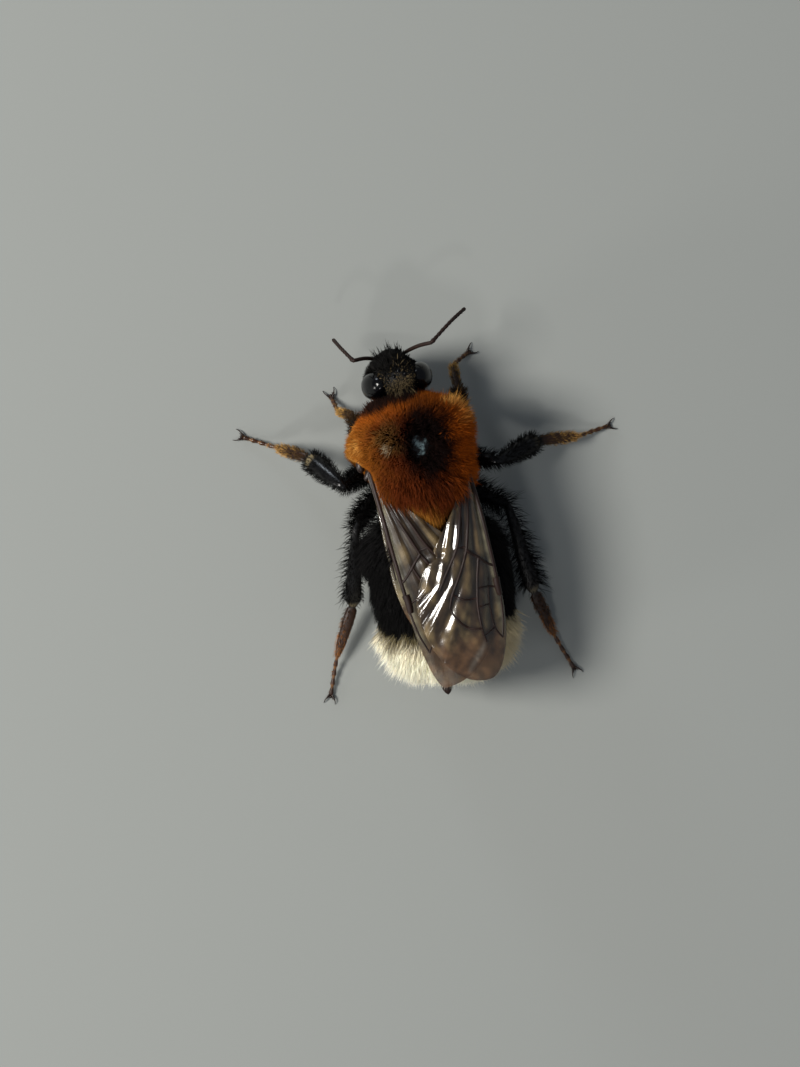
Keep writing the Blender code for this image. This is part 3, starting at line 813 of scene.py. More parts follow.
def wing_height(name, x, y, u, c):
    """The fluted film's height. Its flutes fan out from the root and bend to the trailing edge."""
    lift, shape = WINGS[name][2:]
    scale, spread, phase = flutes(shape, u, c)
    if name == "right_forewing":
        lift = 0.12 + (lift - 0.12) * ease(u / 0.3) * (0.35 + 0.65 * ease(c / 1.4))
    waves = np.arcsin(0.96 * np.sin(phase)) * 2 / np.pi + 0.06 * np.sin(2.3 * phase + 9 * u)
    steep = 0.62 - 0.24 * ease((u - 0.3) / 0.2) - 0.16 * ease((u - 0.7) / 0.12)
    if name == "left_forewing":
        steep = 0.7 * steep
    calm = steep * FLUTE / 4 * ease(u / 0.2) * ease(c / (0.3 * scale))
    calm = calm * (1 - 0.75 * ease((u - 0.86) / 0.08))
    dents = 0.014 * ripple(np.stack([9 * u, c, 0 * u], -1), 1.5)
    dents = dents * ease(u / 0.15) * ease((0.86 - u) / 0.1)
    fold = np.exp(-(((u - 0.46 + 0.035 * c) / 0.012) ** 2)) * ease((c - 0.7) / 0.4)
    return roof(x, y) + lift + spread * waves * calm + dents - 0.05 * fold * scale


def stain_and_light_at(name, u, c):
    """The film's tint: olive in the cells, dark beside the veins, brown at the tip, with painted shade
    and light over it.
    """
    shape = WINGS[name][3]
    lead = wing_edges(shape, u)[0]
    place = np.stack([u * 9, c, 0 * u], -1)
    furrow = 0.5 - 0.5 * np.sin(flutes(shape, u, c)[2])
    veins = FORE_VEINS if name.endswith("forewing") else HIND_VEINS
    lines = np.vstack([smooth_path(np.array(run), 12) for _, run in veins]) * (9, 1)
    near = np.sqrt(((place[:, None, :2] - lines) ** 2).sum(-1).min(1))
    patches = ripple(place * (0.45, 1.4, 1), 1.4) + 0.5 * ripple((place + 2.3) * (0.3, 1, 1), 0.5)
    tint = mix(linear("4a3b2a"), linear("84704d"), ease(0.75 * patches + 0.35))
    tint = mix(linear("24140a"), tint, 0.15 + 0.85 * ease((near - 0.03) / 0.22))
    # The film is painted darker in the furrows of its flutes: painted shade.
    tint = tint * (1 - 0.65 * ease((furrow - 0.55) / 0.4) * ease((0.8 - u) / 0.2))[..., None]
    # Brown at the tip, and painted lighter there as painted light of the white tail showing through the
    # film.
    tip = linear("6a4d33") * (1 + 0.3 * ripple(place, 0.9))[..., None]
    tint = mix(tint, tip, ease((u - 0.74) / 0.14))
    # A pale streak along the leading edge: a painted highlight.
    edge = np.exp(-(((c - lead - 0.16) / 0.15) ** 2)) * (0.5 + 0.5 * ease(ripple(place, 1.7) + 0.5))
    tint = mix(tint, linear("a9a284"), 0.7 * edge * ease((0.95 - u) / 0.3))
    # The left forewing's film is painted darker: painted shade.
    if name == "left_forewing":
        tint = 0.75 * tint
    # A paler band along a fold near the tip of the upper wing: a painted highlight.
    fold = np.exp(-(((9.3 * u - 7.78 - 1.02 * (c - 1.19)) / 0.16) ** 2))
    fold = fold * np.exp(-(((c - 1.65) / 0.45) ** 4))
    return mix(tint, linear("b3a695"), 0.7 * fold * (name == "right_forewing"))


def on_wing(name, u, c):
    """Places on a wing, from shares of its length and millimetres in from its leading edge."""
    root, along, inwards, shape = wing_axes(name)
    u, c = np.asarray(u, float), np.asarray(c, float)
    flat = root + u[..., None] * shape["length"] * along + c[..., None] * inwards
    x, y = flat[..., 0], flat[..., 1]
    return np.stack([x, y, wing_height(name, x, y, u, c)], -1)


def fringe_edge(x):
    """How far back the thorax's hair lies over the wing roots: a blunt V."""
    return np.interp(x, (-2.28, -0.72, -0.37, 2.19), (1.44, 2.83, 3.4, 0.38))


def ceiling(x, y):
    """Height of the lowest wing over each place behind the fringe, or NO_WING."""
    low = np.full(np.shape(x), NO_WING)
    for name in WINGS:
        root, along, inwards, shape = wing_axes(name)
        off = np.stack([x, y], -1) - root
        u, c = off @ along / shape["length"], off @ inwards
        lead, trail = wing_edges(shape, np.clip(u, 0, 1))
        under = (y > fringe_edge(x)) & (u > 0) & (u < 1.02) & (c > lead - 0.1) & (c < trail + 0.1)
        low = np.where(under, np.minimum(low, wing_height(name, x, y, u, c)), low)
    return low


# Wing film: smoke-brown and see-through, wrinkled like thin foil, and duller where dusty.
films = {}
for name, roughness, gloss in (("smoky", 0.15, 0.9), ("dusty", 0.34, 0.38)):
    films[name], tree, shader = new_material(
        f"{name} wing film", Roughness=roughness, IOR=1.57, Specular_IOR_Level=gloss, Alpha=0.7
    )
    place = node(tree, "ShaderNodeTexCoord")
    smoke = node(tree, "ShaderNodeTexNoise", {
        "Vector": place.outputs["Object"], "Scale": 1 / (0.6 * MM), "Detail": 6.0
    })
    dense = node(tree, "ShaderNodeMapRange", {
        "Value": smoke.outputs["Fac"], "From Min": 0.35, "From Max": 0.65, "To Min": 0.25, "To Max": 0.95
    })
    stain_and_painted_light = node(tree, "ShaderNodeAttribute", attribute_name="stain_and_painted_light")
    tone = node(tree, "ShaderNodeMix", {
        "Factor": dense.outputs["Result"], "A": rgba("1a110a"), "B": stain_and_painted_light.outputs["Color"]
    }, data_type="RGBA")
    lengthwise = node(tree, "ShaderNodeMapping", {
        "Vector": place.outputs["Object"], "Scale": (1.0, 0.22, 1.0)
    })
    creases = node(tree, "ShaderNodeTexNoise", {
        "Vector": lengthwise.outputs["Vector"], "Scale": 1 / (0.3 * MM), "Detail": 4.0
    })
    bump = node(tree, "ShaderNodeBump", {
        "Height": creases.outputs["Fac"], "Strength": 0.32, "Distance": 0.04 * MM
    })
    tree.links.new(tone.outputs[2], shader.inputs["Base Color"])
    tree.links.new(bump.outputs["Normal"], shader.inputs["Normal"])

# Vein cuticle: red-brown rods, glossy.
vein_brown = cuticle(
    "vein cuticle", "0e0806", "2c1811", 0.8, Roughness=0.5, IOR=1.5, Specular_IOR_Level=0.3
)[0]

# Veins as (share of the length, millimetres from the leading edge), each with its thickness.
FORE_VEINS = (
    (0.15, ((0.0, 0.12), (0.15, 0.08), (0.3, 0.05), (0.45, 0.04), (0.56, 0.04))),
    (0.24, ((0.555, 0.07), (0.585, 0.09), (0.62, 0.08), (0.635, 0.06))),
    (0.07, ((0.63, 0.03), (0.74, 0.14), (0.83, 0.36))),
    (0.12, ((0.0, 0.24), (0.12, 0.38), (0.26, 0.7), (0.4, 1.1))),
    (0.1, ((0.4, 1.1), (0.435, 0.75), (0.48, 0.32), (0.5, 0.06))),
    (0.08, ((0.385, 1.07), (0.38, 1.5))),
    (0.1, ((0.0, 0.32), (0.12, 0.62), (0.25, 1.05), (0.38, 1.5), (0.5, 2.3), (0.55, 2.62))),
    (0.09, ((0.4, 1.1), (0.48, 1.5), (0.58, 2.12), (0.64, 2.35))),
    (0.08, ((0.445, 0.64), (0.52, 0.86), (0.58, 1.0), (0.66, 1.16), (0.77, 1.2), (0.83, 1.12))),
    (0.07, ((0.58, 2.12), (0.615, 1.7), (0.625, 1.1))),
    (0.07, ((0.765, 1.2), (0.75, 1.7), (0.7, 2.15), (0.64, 2.35))),
    (0.07, ((0.6, 0.1), (0.585, 0.5), (0.58, 1.0))),
    (0.07, ((0.585, 0.5), (0.665, 0.62), (0.775, 0.6), (0.83, 0.36))),
    (0.06, ((0.665, 0.62), (0.665, 1.16))),
    (0.06, ((0.775, 0.6), (0.8, 1.16))),
)
HIND_VEINS = (
    (0.09, ((0.0, 0.1), (0.2, 0.1), (0.45, 0.08), (0.62, 0.12))),
    (0.08, ((0.0, 0.2), (0.2, 0.45), (0.45, 0.75), (0.7, 0.9))),
    (0.06, ((0.45, 0.75), (0.5, 0.1))),
    (0.07, ((0.0, 0.3), (0.25, 0.8), (0.5, 1.35))),
    (0.05, ((0.3, 0.6), (0.31, 0.92))),
)

# Round rods along lines, as thick as each line's own number says.
rod_tree, given, rod_sizes = new_tree("rods on lines", Sides="NodeSocketInt", Finish="NodeSocketMaterial")
line = node(rod_tree, "GeometryNodeMeshToCurve", {"Mesh": given.outputs["Geometry"]})
thickness = node(rod_tree, "GeometryNodeInputNamedAttribute", {"Name": "thickness"})
half = node(rod_tree, "ShaderNodeMath", {0: thickness.outputs["Attribute"], 1: 0.5}, operation="MULTIPLY")
round_rod = node(rod_tree, "GeometryNodeCurvePrimitiveCircle", {
    "Resolution": given.outputs["Sides"], "Radius": 1.0
})
swept = node(rod_tree, "GeometryNodeCurveToMesh", {
    "Curve": line.outputs["Curve"], "Profile Curve": round_rod.outputs["Curve"],
    "Scale": half.outputs["Value"], "Fill Caps": True,
})
end_tree(rod_tree, given, swept.outputs["Mesh"])

for name, (_, _, _, shape) in WINGS.items():
    fore = name.endswith("forewing")
    spans, strips = (130, 56) if fore else (80, 30)
    u = np.sin(np.linspace(0, np.pi / 2, spans + 1)) ** 1.3
    lead, trail = wing_edges(shape, u)
    share = np.linspace(0, 1, strips + 1)
    c = lead[:, None] + (trail - lead)[:, None] * share
    points = on_wing(name, np.repeat(u[:, None], strips + 1, 1), c).reshape(-1, 3)
    faces = []
    for i in range(spans):
        for j in range(strips):
            a = i * (strips + 1) + j
            faces.append((a, a + 1, a + strips + 2, a + strips + 1))
    if name.startswith("left"):
        faces = [face[::-1] for face in faces]
    finish = films["dusty" if name == "left_forewing" else "smoky"]
    sheet = new_object(f"{name}_film", points, faces, finish)
    set_colour(sheet.data, "stain_and_painted_light", stain_and_light_at(name, np.repeat(u, strips + 1), c.ravel()))
    thick = sheet.modifiers.new("film", "SOLIDIFY")
    thick.thickness, thick.offset = FILM, 0
    settle(sheet, "wing_membrane", name)

    spots, edges, sizes = [], [], []
    for size, places in FORE_VEINS if fore else HIND_VEINS:
        run = smooth_path(np.array(places), 8)
        start = len(spots)
        spots += on_wing(name, run[:, 0], run[:, 1]).tolist()
        edges += [(start + i, start + i + 1) for i in range(len(run) - 1)]
        sizes += list(np.linspace(1.45 * size, 1.1 * size, len(run)) * (1 if fore else 0.8))
    veins = new_object(f"{name}_veins", spots, (), None, edges)
    veins.data.attributes.new("thickness", "FLOAT", "POINT").data.foreach_set("value", sizes)
    run_tree(veins, rod_tree, rod_sizes, Sides=8, Finish=vein_brown)
    settle(veins, "brown_cuticle")

# Over each wing root lies a small domed shield, and a short stalk ties the root to the thorax.
for name, side in SIDES:
    dome = lump((side * 2.3, 0.0, 5.02), (0.2, 0.3, 0.18))
    stalk = loft(
        smooth_path([(side * 1.5, 0.1, 5.1), (side * 1.9, 0.25, 5.25), (side * 2.2, 0.6, 5.3)], 5),
        (0.5, 0.48, 0.45, 0.42, 0.4, 0.38, 0.36, 0.34, 0.3, 0.26, 0.2), sides=14,
    )
    shield = joined([dome, stalk])
    piece(f"{name}_wing_shield", shield, jaw_brown, "brown_cuticle", f"{name}_tegula")

# ------------------------------------------------------------------ tip of the tail
# The last ring is bare, brown-black and polished: an upper and a lower plate that meet
# over the sting.

TIP_X, TIP_Y, TIP_Z = TIP_CENTRE
plates = []
for lift, high in ((0.08, 0.3), (-0.1, 0.24)):
    path = smooth_path([
        (TIP_X, TIP_Y - 0.75, TIP_Z + lift), (TIP_X, TIP_Y, TIP_Z + lift), (TIP_X, TIP_Y + 0.44, TIP_Z)
    ], 6)
    share = np.linspace(0, 1, len(path))
    taper = np.sqrt(np.maximum(0.02, 1 - share**2.2))
    plates.append(loft(path, 0.56 * taper, high * taper, 18))
piece("tail_plates", joined(plates), jaw_brown, "black_cuticle", "tail_tip")

# ------------------------------------------------------------------ claws
# Each foot ends in two spread, hooked claws with a soft pad between them.

# Places as millimetres ahead of the toe, sideways and up.
CLAW = ((0.0, 0.03, 0.12), (0.14, 0.13, 0.16), (0.3, 0.22, 0.13), (0.43, 0.25, 0.03))
SPUR = ((0.1, 0.08, 0.12), (0.18, 0.1, 0.09), (0.24, 0.1, 0.03))

for leg in STANCES:
    joints = leg_joints(leg)
    way = joints[-1] - joints[-2]
    ahead = unit(np.array((way[0], way[1], 0)))
    level = np.array((-ahead[1], ahead[0], 0))
    toe = (joints[-1] - ahead * 0.04) * (1, 1, 0)
    hooks = []
    for side in (1, -1):
        for places, steps, thick, sides in ((CLAW, 5, 0.1, 10), (SPUR, 4, 0.06, 8)):
            path = [toe + ahead * a + level * side * b + (0, 0, h) for a, b, h in places]
            path = smooth_path(path, steps)
            hooks.append(loft(path, np.linspace(thick, 0.02, len(path)), sides=sides))
    hooks.append(lump(toe + ahead * 0.12 + (0, 0, 0.085), (0.07, 0.07, 0.06)))
    piece(f"{leg}_hooks", joined(hooks), jaw_brown, "claw", f"{leg}_claws")

# ------------------------------------------------------------------ coat
# Branched hair, dense and velvety: nearly upright on the thorax, swept back on the
# abdomen, long and soft on the tail, ragged on the face. Each tuft is a closed, bent,
# three-sided spike that stands in the shell.

# Bee hair: fine feathery branches scatter light, so pale hair glows at its tips like velvet
# and black hair swallows it.
hairs = {}
for name, dull, gloss, glow in (
    ("ginger", 0.7, 0.08, 0.0), ("black", 0.65, 0.12, 0.0), ("white", 0.6, 0.25, 0.3)
):
    hairs[name], tree, shader = new_material(
        f"{name} bee hair", Roughness=dull, IOR=1.5, Specular_IOR_Level=gloss, Sheen_Weight=glow,
        Sheen_Roughness=0.5,
    )
    colour = node(tree, "ShaderNodeAttribute", attribute_name="markings_and_painted_light")
    tree.links.new(colour.outputs["Color"], shader.inputs["Base Color"])

PATCH = 0.003  # each tuft's patch on the unwrapped skin
HAIR, HEAD_HAIR = 0.045, 0.035  # thickness of a tuft at its root
TUFTS = dict(thorax=54000, abdomen=56000, head=14000, leg=3200)
FULL_COAT = 1.0
seeds = np.random.default_rng(11)


def scatter(points, normals, triangles, weights, count, *fields):
    """Random places on triangles: points, normals and any fields, spread by area times weight."""
    count = int(count * FULL_COAT)
    a, b, c = (points[triangles[:, i]] for i in range(3))
    areas = np.linalg.norm(np.cross(b - a, c - a), axis=1) / 2 * weights
    chosen = seeds.choice(len(triangles), count, p=areas / areas.sum())
    r, s = np.sqrt(seeds.random(count)), seeds.random(count)
    shares = np.stack([1 - r, r * (1 - s), r * s], -1)
    corners = triangles[chosen]
    found = [(field[corners] * shares[..., None]).sum(1) for field in (points, normals, *fields)]
    found[1] = unit(found[1])
    return found


def depth_to(shape, spine, points, ways, most):
    """How far each point can go its way before it leaves the coat's outline."""
    low, high = np.zeros(len(points)), np.full(len(points), most)
    for _ in range(9):
        middle = (low + high) / 2
        x, y, z = (points + ways * middle[:, None]).T
        t = y - shape["widest"]
        t = t / np.where(t < 0, shape["widest"] - shape["front"], shape["rear"] - shape["widest"])
        x0, z0 = spine(y)
        full = np.maximum(swell(np.clip(t, -1, 1), shape["powers"]), 1e-6)
        inside = ((x - x0) / shape["half"][0]) ** 2 + ((z - z0) / shape["half"][1]) ** 2 < full**2
        inside &= np.abs(t) < 1
        low, high = np.where(inside, middle, low), np.where(inside, high, middle)
    return low


def grow(name, roots, normals, ways, lengths, widths, colours, unwrap, kind="black", bend=0.12, tip=1.3):
    """One piece of coat: a spike at each root, bent off the normal towards its way."""
    count = len(roots)
    # No hair reaches into the ground.
    room = (roots[:, 2] - 0.04) / np.maximum(-ways[:, 2], 0.05)
    lengths = np.clip(lengths, 0.02, np.maximum(room, 0.02))
    tips = roots + ways * lengths[:, None]
    knees = roots + ways * (0.5 * lengths)[:, None] + normals * (bend * lengths)[:, None]
    sunk = roots - normals * 0.06
    axis = unit(tips - sunk)
    across = unit(np.cross(axis, unit(seeds.normal(size=(count, 3)))))
    other = np.cross(axis, across)
    points = np.zeros((count, 7, 3))
    for k in range(3):
        angle = 2 * math.pi * k / 3
        out = across * math.cos(angle) + other * math.sin(angle)
        points[:, k] = sunk + out * widths[:, None] / 2
        points[:, 3 + k] = knees + out * (0.36 * widths)[:, None]
    points[:, 6] = tips
    # Three sides of a quad and a triangle each, and a floor.
    corners = [(0, 1, 4, 3), (1, 2, 5, 4), (2, 0, 3, 5), (3, 4, 6), (4, 5, 6), (5, 3, 6), (2, 1, 0)]
    thirds = [(k / 3 - 0.5, (k + 1) / 3 - 0.5) for k in range(3)]
    spots = [spot for a, b in thirds for spot in ((a, -0.5), (b, -0.5), (b, 0), (a, 0))]
    spots += [spot for a, b in thirds for spot in ((a, 0), (b, 0), ((a + b) / 2, 0.5))]
    spots += [(0.1, -0.5), (-0.1, -0.5), (0, -0.4)]
    loops = np.array([i for face in corners for i in face])
    sizes = np.array([len(face) for face in corners])
    mesh = bpy.data.meshes.new(name)
    mesh.vertices.add(7 * count)
    mesh.vertices.foreach_set("co", points.ravel())
    mesh.loops.add(len(loops) * count)
    mesh.loops.foreach_set("vertex_index", (loops + 7 * np.arange(count)[:, None]).ravel())
    mesh.polygons.add(len(sizes) * count)
    starts = np.append(0, np.cumsum(sizes)[:-1]) + len(loops) * np.arange(count)[:, None]
    mesh.polygons.foreach_set("loop_start", starts.ravel())
    mesh.update(calc_edges=True)
    mesh.shade_smooth()
    # Each tuft is painted darker at its root, painted shade deep in the coat, and lighter at its tip by
    # the tip number, painted light on the tips.
    root, knee = (0.9, 1.0) if kind == "white" else (0.45, 0.95)
    shade = np.array([root] * 3 + [knee] * 3 + [tip])
    set_colour(mesh, "markings_and_painted_light", np.clip(colours[:, None] * shade[:, None], 0, 1).reshape(-1, 3))
    layer = mesh.uv_layers.new(name="OFBake")
    places = PATCH * (0.5 + unwrap[:, None] * (1 / PATCH - 1) + np.array(spots))
    layer.uv.foreach_set("vector", places.ravel())
    mesh.materials.append(hairs[kind])
    settle(shown(name, mesh), f"{kind}_coat")


def trunk_unwrap(points):
    """Place on the unrolled trunk: round its axis, and along it from face to tail."""
    x0, z0 = abdomen_spine(points[:, 1])
    around = np.arctan2(points[:, 0] - x0 * (points[:, 1] > 2), z0 + 0.3 - points[:, 2])
    return np.stack([0.5 + around / (2 * np.pi), (points[:, 1] + 4.8) / 15.2], -1)


def under_wings(roots, ways, lengths):
    """Shortens the hairs that would come up through a wing."""
    tips = roots + ways * lengths[:, None]
    top = ceiling(tips[:, 0], tips[:, 1]) - 0.06
    poking = (roots[:, 2] < top) & (tips[:, 2] > top)
    rise = np.maximum(tips[:, 2] - roots[:, 2], 1e-6)
    return np.where(poking, lengths * np.clip((top - roots[:, 2]) / rise, 0.1, 1), lengths)


def locks(points, pitch):
    """A bend that neighbouring hairs share, so that the coat parts into soft locks."""
    shift = np.array((3.1, 7.7, 1.3))
    return np.stack([ripple(points + shift * k, pitch) for k in (0, 1, -1)], -1)


def at_least(lengths, share, low, high):
    """Lengths of no less than a share of a random number of millimetres."""
    return np.maximum(lengths, share * seeds.uniform(low, high, len(lengths)))


middle = trunk_points[trunk_triangles].mean(1)
mid_x, mid_y, mid_z = middle.T

# Thorax: ginger plush, longest at the rear, where it lies over the wing roots as a fringe.
weight = (mid_y > -2.25) & (mid_y < 2.3)
weight = weight * (0.08 + 0.92 * ease((baldness(middle) - 0.9) / 0.6))
weight *= np.where(mid_z < 3, 0.45, 1.0)
roots, normals = scatter(*trunk_arrays, weight, TUFTS["thorax"])
x, y, z = roots.T
back, ahead = ease((y - 0.4) / 1.2), ease((-1.3 - y) / 0.5)
above = ease((z - 4.4) / 0.5)
lean = 0.25 * ease((y + 1.6) / 1.0) - 0.35 * ahead + 0.25 * (1 - above)
lie = np.stack([-0.16 * back * x, lean + 1.2 * back, 0.25 * back * above - 0.15 * (1 - above)], -1)
ways = unit(normals + lie + 0.16 * seeds.normal(size=roots.shape) + 0.22 * locks(roots, 0.8))
lengths = depth_to(THORAX_COAT, thorax_spine, roots, ways, 1.7)
lengths = np.maximum(lengths, 0.7 * ahead * (z > 3.4))
lengths *= 1 - 0.4 * ease((x - 0.4) / 1.0) * ease((-0.9 - y) / 0.7) * ease((y + 2.0) / 0.3)
lengths *= 1 + 0.4 * ease((-1.2 - x) / 0.6) * ease((-0.6 - y) / 0.5) * above
lengths *= np.where(seeds.random(len(roots)) < 0.14, seeds.uniform(1.05, 1.3, len(roots)), 1)
lengths *= seeds.uniform(0.8, 1.05, len(roots)) * (0.2 + 0.8 * ease((baldness(roots) - 1.0) / 1.6))
reach_back = (fringe_edge(x + 0.4 * ways[:, 0]) - y) / np.maximum(ways[:, 1], 0.25)
reach_back = np.clip(reach_back, 0, 2.0) * ease((y - 0.5) / 0.5) * above
lengths = at_least(lengths, reach_back, 0.6, 1.0)
shoulder = ease((-1.0 - x) / 0.5) * ease(y / 0.5) * (z > 4.4)
lengths = at_least(lengths, 1.15 * shoulder, 0.7, 1.0)
# Behind the widest place the sides draw in to the wing roots.
tip_y = y + 0.7 * ways[:, 1] * lengths
left_flank = np.interp(tip_y, (-0.6, 0.33, 3), (2.85, 2.0, 1.6))
flank = np.where(x > 0, left_flank, np.interp(tip_y, (0, 1.5, 3), (2.95, 2.6, 2)))
room = (flank - np.abs(x)) / np.maximum(ways[:, 0] * np.sign(x), 0.05)
lengths = np.minimum(lengths, np.maximum(room, 0.15))
lengths = np.minimum(lengths, (7.45 - z) / np.maximum(ways[:, 2], 0.05))
lengths = under_wings(roots, ways, lengths)
# Long hair hangs round the hips and closes the gap below the waist.
hips = ease((3.4 - z) / 0.4) * ease((y - 0.3) / 0.5)
lengths = at_least(lengths, hips, 0.5, 1.1)
tints = markings_and_painted_light(roots) * seeds.uniform(0.75, 1.25, (len(roots), 1))
tufts = (roots, normals, ways, lengths, np.full(len(roots), HAIR), tints, trunk_unwrap(roots))
sector = np.degrees(np.arctan2(x, z - 4.4))
# The thorax's hair tips are painted lightest on the left side and next on the right: painted light.
for name, part, tip in (
    ("top", np.abs(sector) < 48, 1.25), ("left", sector >= 48, 1.7), ("right", sector <= -48, 1.5)
):
    grow(f"thorax_coat_{name}", *[field[part] for field in tufts], "ginger", tip=tip)

# Abdomen: black velvet lying back over each ring, then the long white hair of the tail.
covered = (ceiling(mid_x, mid_y) < NO_WING) & (mid_z > 4)
weight = (mid_y > 2.5) * np.where(mid_z < 2.2, 0.5, 1.0) * np.where(covered, 0.6, 1.0)
weight *= 1 + 0.5 * (tail_depth(middle) > -0.2)
roots, normals = scatter(*trunk_arrays, weight, TUFTS["abdomen"])
x, y, z = roots.T
far = ease((tail_depth(roots) + 0.3) / 0.5)
lie = np.stack([0 * far, 0.9 - 0.3 * far, -0.15 + 0.1 * far], -1)
ways = unit(0.8 * normals + lie + 0.17 * seeds.normal(size=roots.shape) + 0.22 * locks(roots, 1.1))
lengths = depth_to(ABDOMEN_COAT, abdomen_spine, roots, ways, 1.5)
lengths = np.minimum(lengths, 1.1) * seeds.uniform(0.75, 1.05, len(roots))
lengths = at_least(lengths, far, 0.9, 1.45)
lengths *= np.where(seeds.random(len(roots)) < 0.12, 1.2, 1.0)
waist = ease((4.6 - y) / 0.8) * (np.abs(x + 0.2) > 1.0)
lengths = at_least(lengths, waist, 1.0, 1.6)
# The last hairs stop short of the bare tip.
tail_end = 10.0 - 0.15 * (x + 0.6) ** 2 - 0.13 * (z - TIP_Z) ** 2
tail_end += 0.12 * seeds.normal(size=len(roots))
tail_end -= 0.75 * np.exp(-((np.hypot(x - TIP_X, z - TIP_Z - 0.1) / 0.55) ** 2))
lengths = np.clip(lengths, 0.1, np.maximum(0.1, (tail_end - y) / np.maximum(ways[:, 1], 0.1)))
lengths = under_wings(roots, ways, lengths)
sector = np.degrees(np.arctan2(x + 0.4, z - 3.4))
white = tail_depth(roots) > -0.05
uneven = np.where(white, seeds.uniform(0.88, 1.15, len(roots)), seeds.uniform(0.3, 1.6, len(roots)))
tints = markings_and_painted_light(roots) * uneven[:, None]
tufts = (roots, normals, ways, lengths, np.full(len(roots), HAIR), tints, trunk_unwrap(roots))
for name, part, kind in (
    ("abdomen_coat_top", ~white & (np.abs(sector) < 60), "black"),
    ("abdomen_coat_left", ~white & (sector >= 60), "black"),
    ("abdomen_coat_right", ~white & (sector <= -60), "black"),
    ("tail_coat_left", white & (x > 0.1), "white"),
    ("tail_coat_right", white & (x <= 0.1), "white"),
):
    grow(name, *[field[part] for field in tufts], kind, tip=1.1)

# Head: black, ragged on the face, with some straw-coloured hairs on the crown.
own = in_head(middle)
in_eye = np.zeros(len(middle), bool)
for side in (1, -1):
    off = own - (side * EYE_CENTRE[0], EYE_CENTRE[1], EYE_CENTRE[2])
    off[:, 0] += side * math.tan(EYE_LEAN) * off[:, 2]
    in_eye |= ((off / (np.array(EYE_HALF) + 0.03)) ** 2).sum(1) < 1
shiny = (np.abs(own[:, 0]) < 0.42) & (own[:, 2] < -0.35) & (own[:, 2] > -1.2) & (own[:, 1] < -0.7)
crown = np.min([np.linalg.norm(own - spot, axis=1) for spot in OCELLI], 0) < 0.12
weight = (mid_y < -2.25) * ~in_eye * ~crown * np.where(shiny, 0.45, 1.0)
roots, normals = scatter(*trunk_arrays, weight, TUFTS["head"])
head_roots = in_head(roots)
x, y, z = head_roots.T
face = ease((-0.3 - y) / 0.3)
ways = unit(
    normals + np.stack([0 * face, 0.3 - 0.9 * face, 0.35 * face], -1)
    + 0.25 * seeds.normal(size=roots.shape) + 0.35 * locks(roots, 0.5)
)
untapered = np.stack([x / head_width(head_roots), y, z], -1)
lengths = depth_to(HEAD_COAT, head_spine, untapered, ways @ TURN, 0.6)
lengths *= seeds.uniform(0.6, 1.0, len(roots))
lengths = np.clip(lengths, 0.1, 0.35 + 0.25 * face)
ragged = face * (z > 0.2) * ease(ripple(head_roots, 0.35))
lengths = at_least(lengths, 0.85 * ragged, 0.5, 1.0)
lengths = np.where(y > 0.5, seeds.uniform(0.35, 0.7, len(roots)), lengths)
cheek = ease((-0.3 - x) / 0.2) * ease((0.1 - y) / 0.2)
lengths *= 1 - 0.6 * cheek
blond = np.exp(-((x / 0.55) ** 2 + ((y - 0.25) / 0.45) ** 2)) * (z > 1.0)
straw = seeds.random(len(roots)) < 0.85 * blond
tints = np.where(straw[:, None], linear("6e5f44") * seeds.uniform(0.6, 1.3, (len(roots), 1)),
                 linear("090807") * seeds.uniform(0.4, 2.6, (len(roots), 1)))
widths = np.full(len(roots), HEAD_HAIR)
grow("head_coat", roots, normals, ways, lengths, widths, tints, trunk_unwrap(roots))

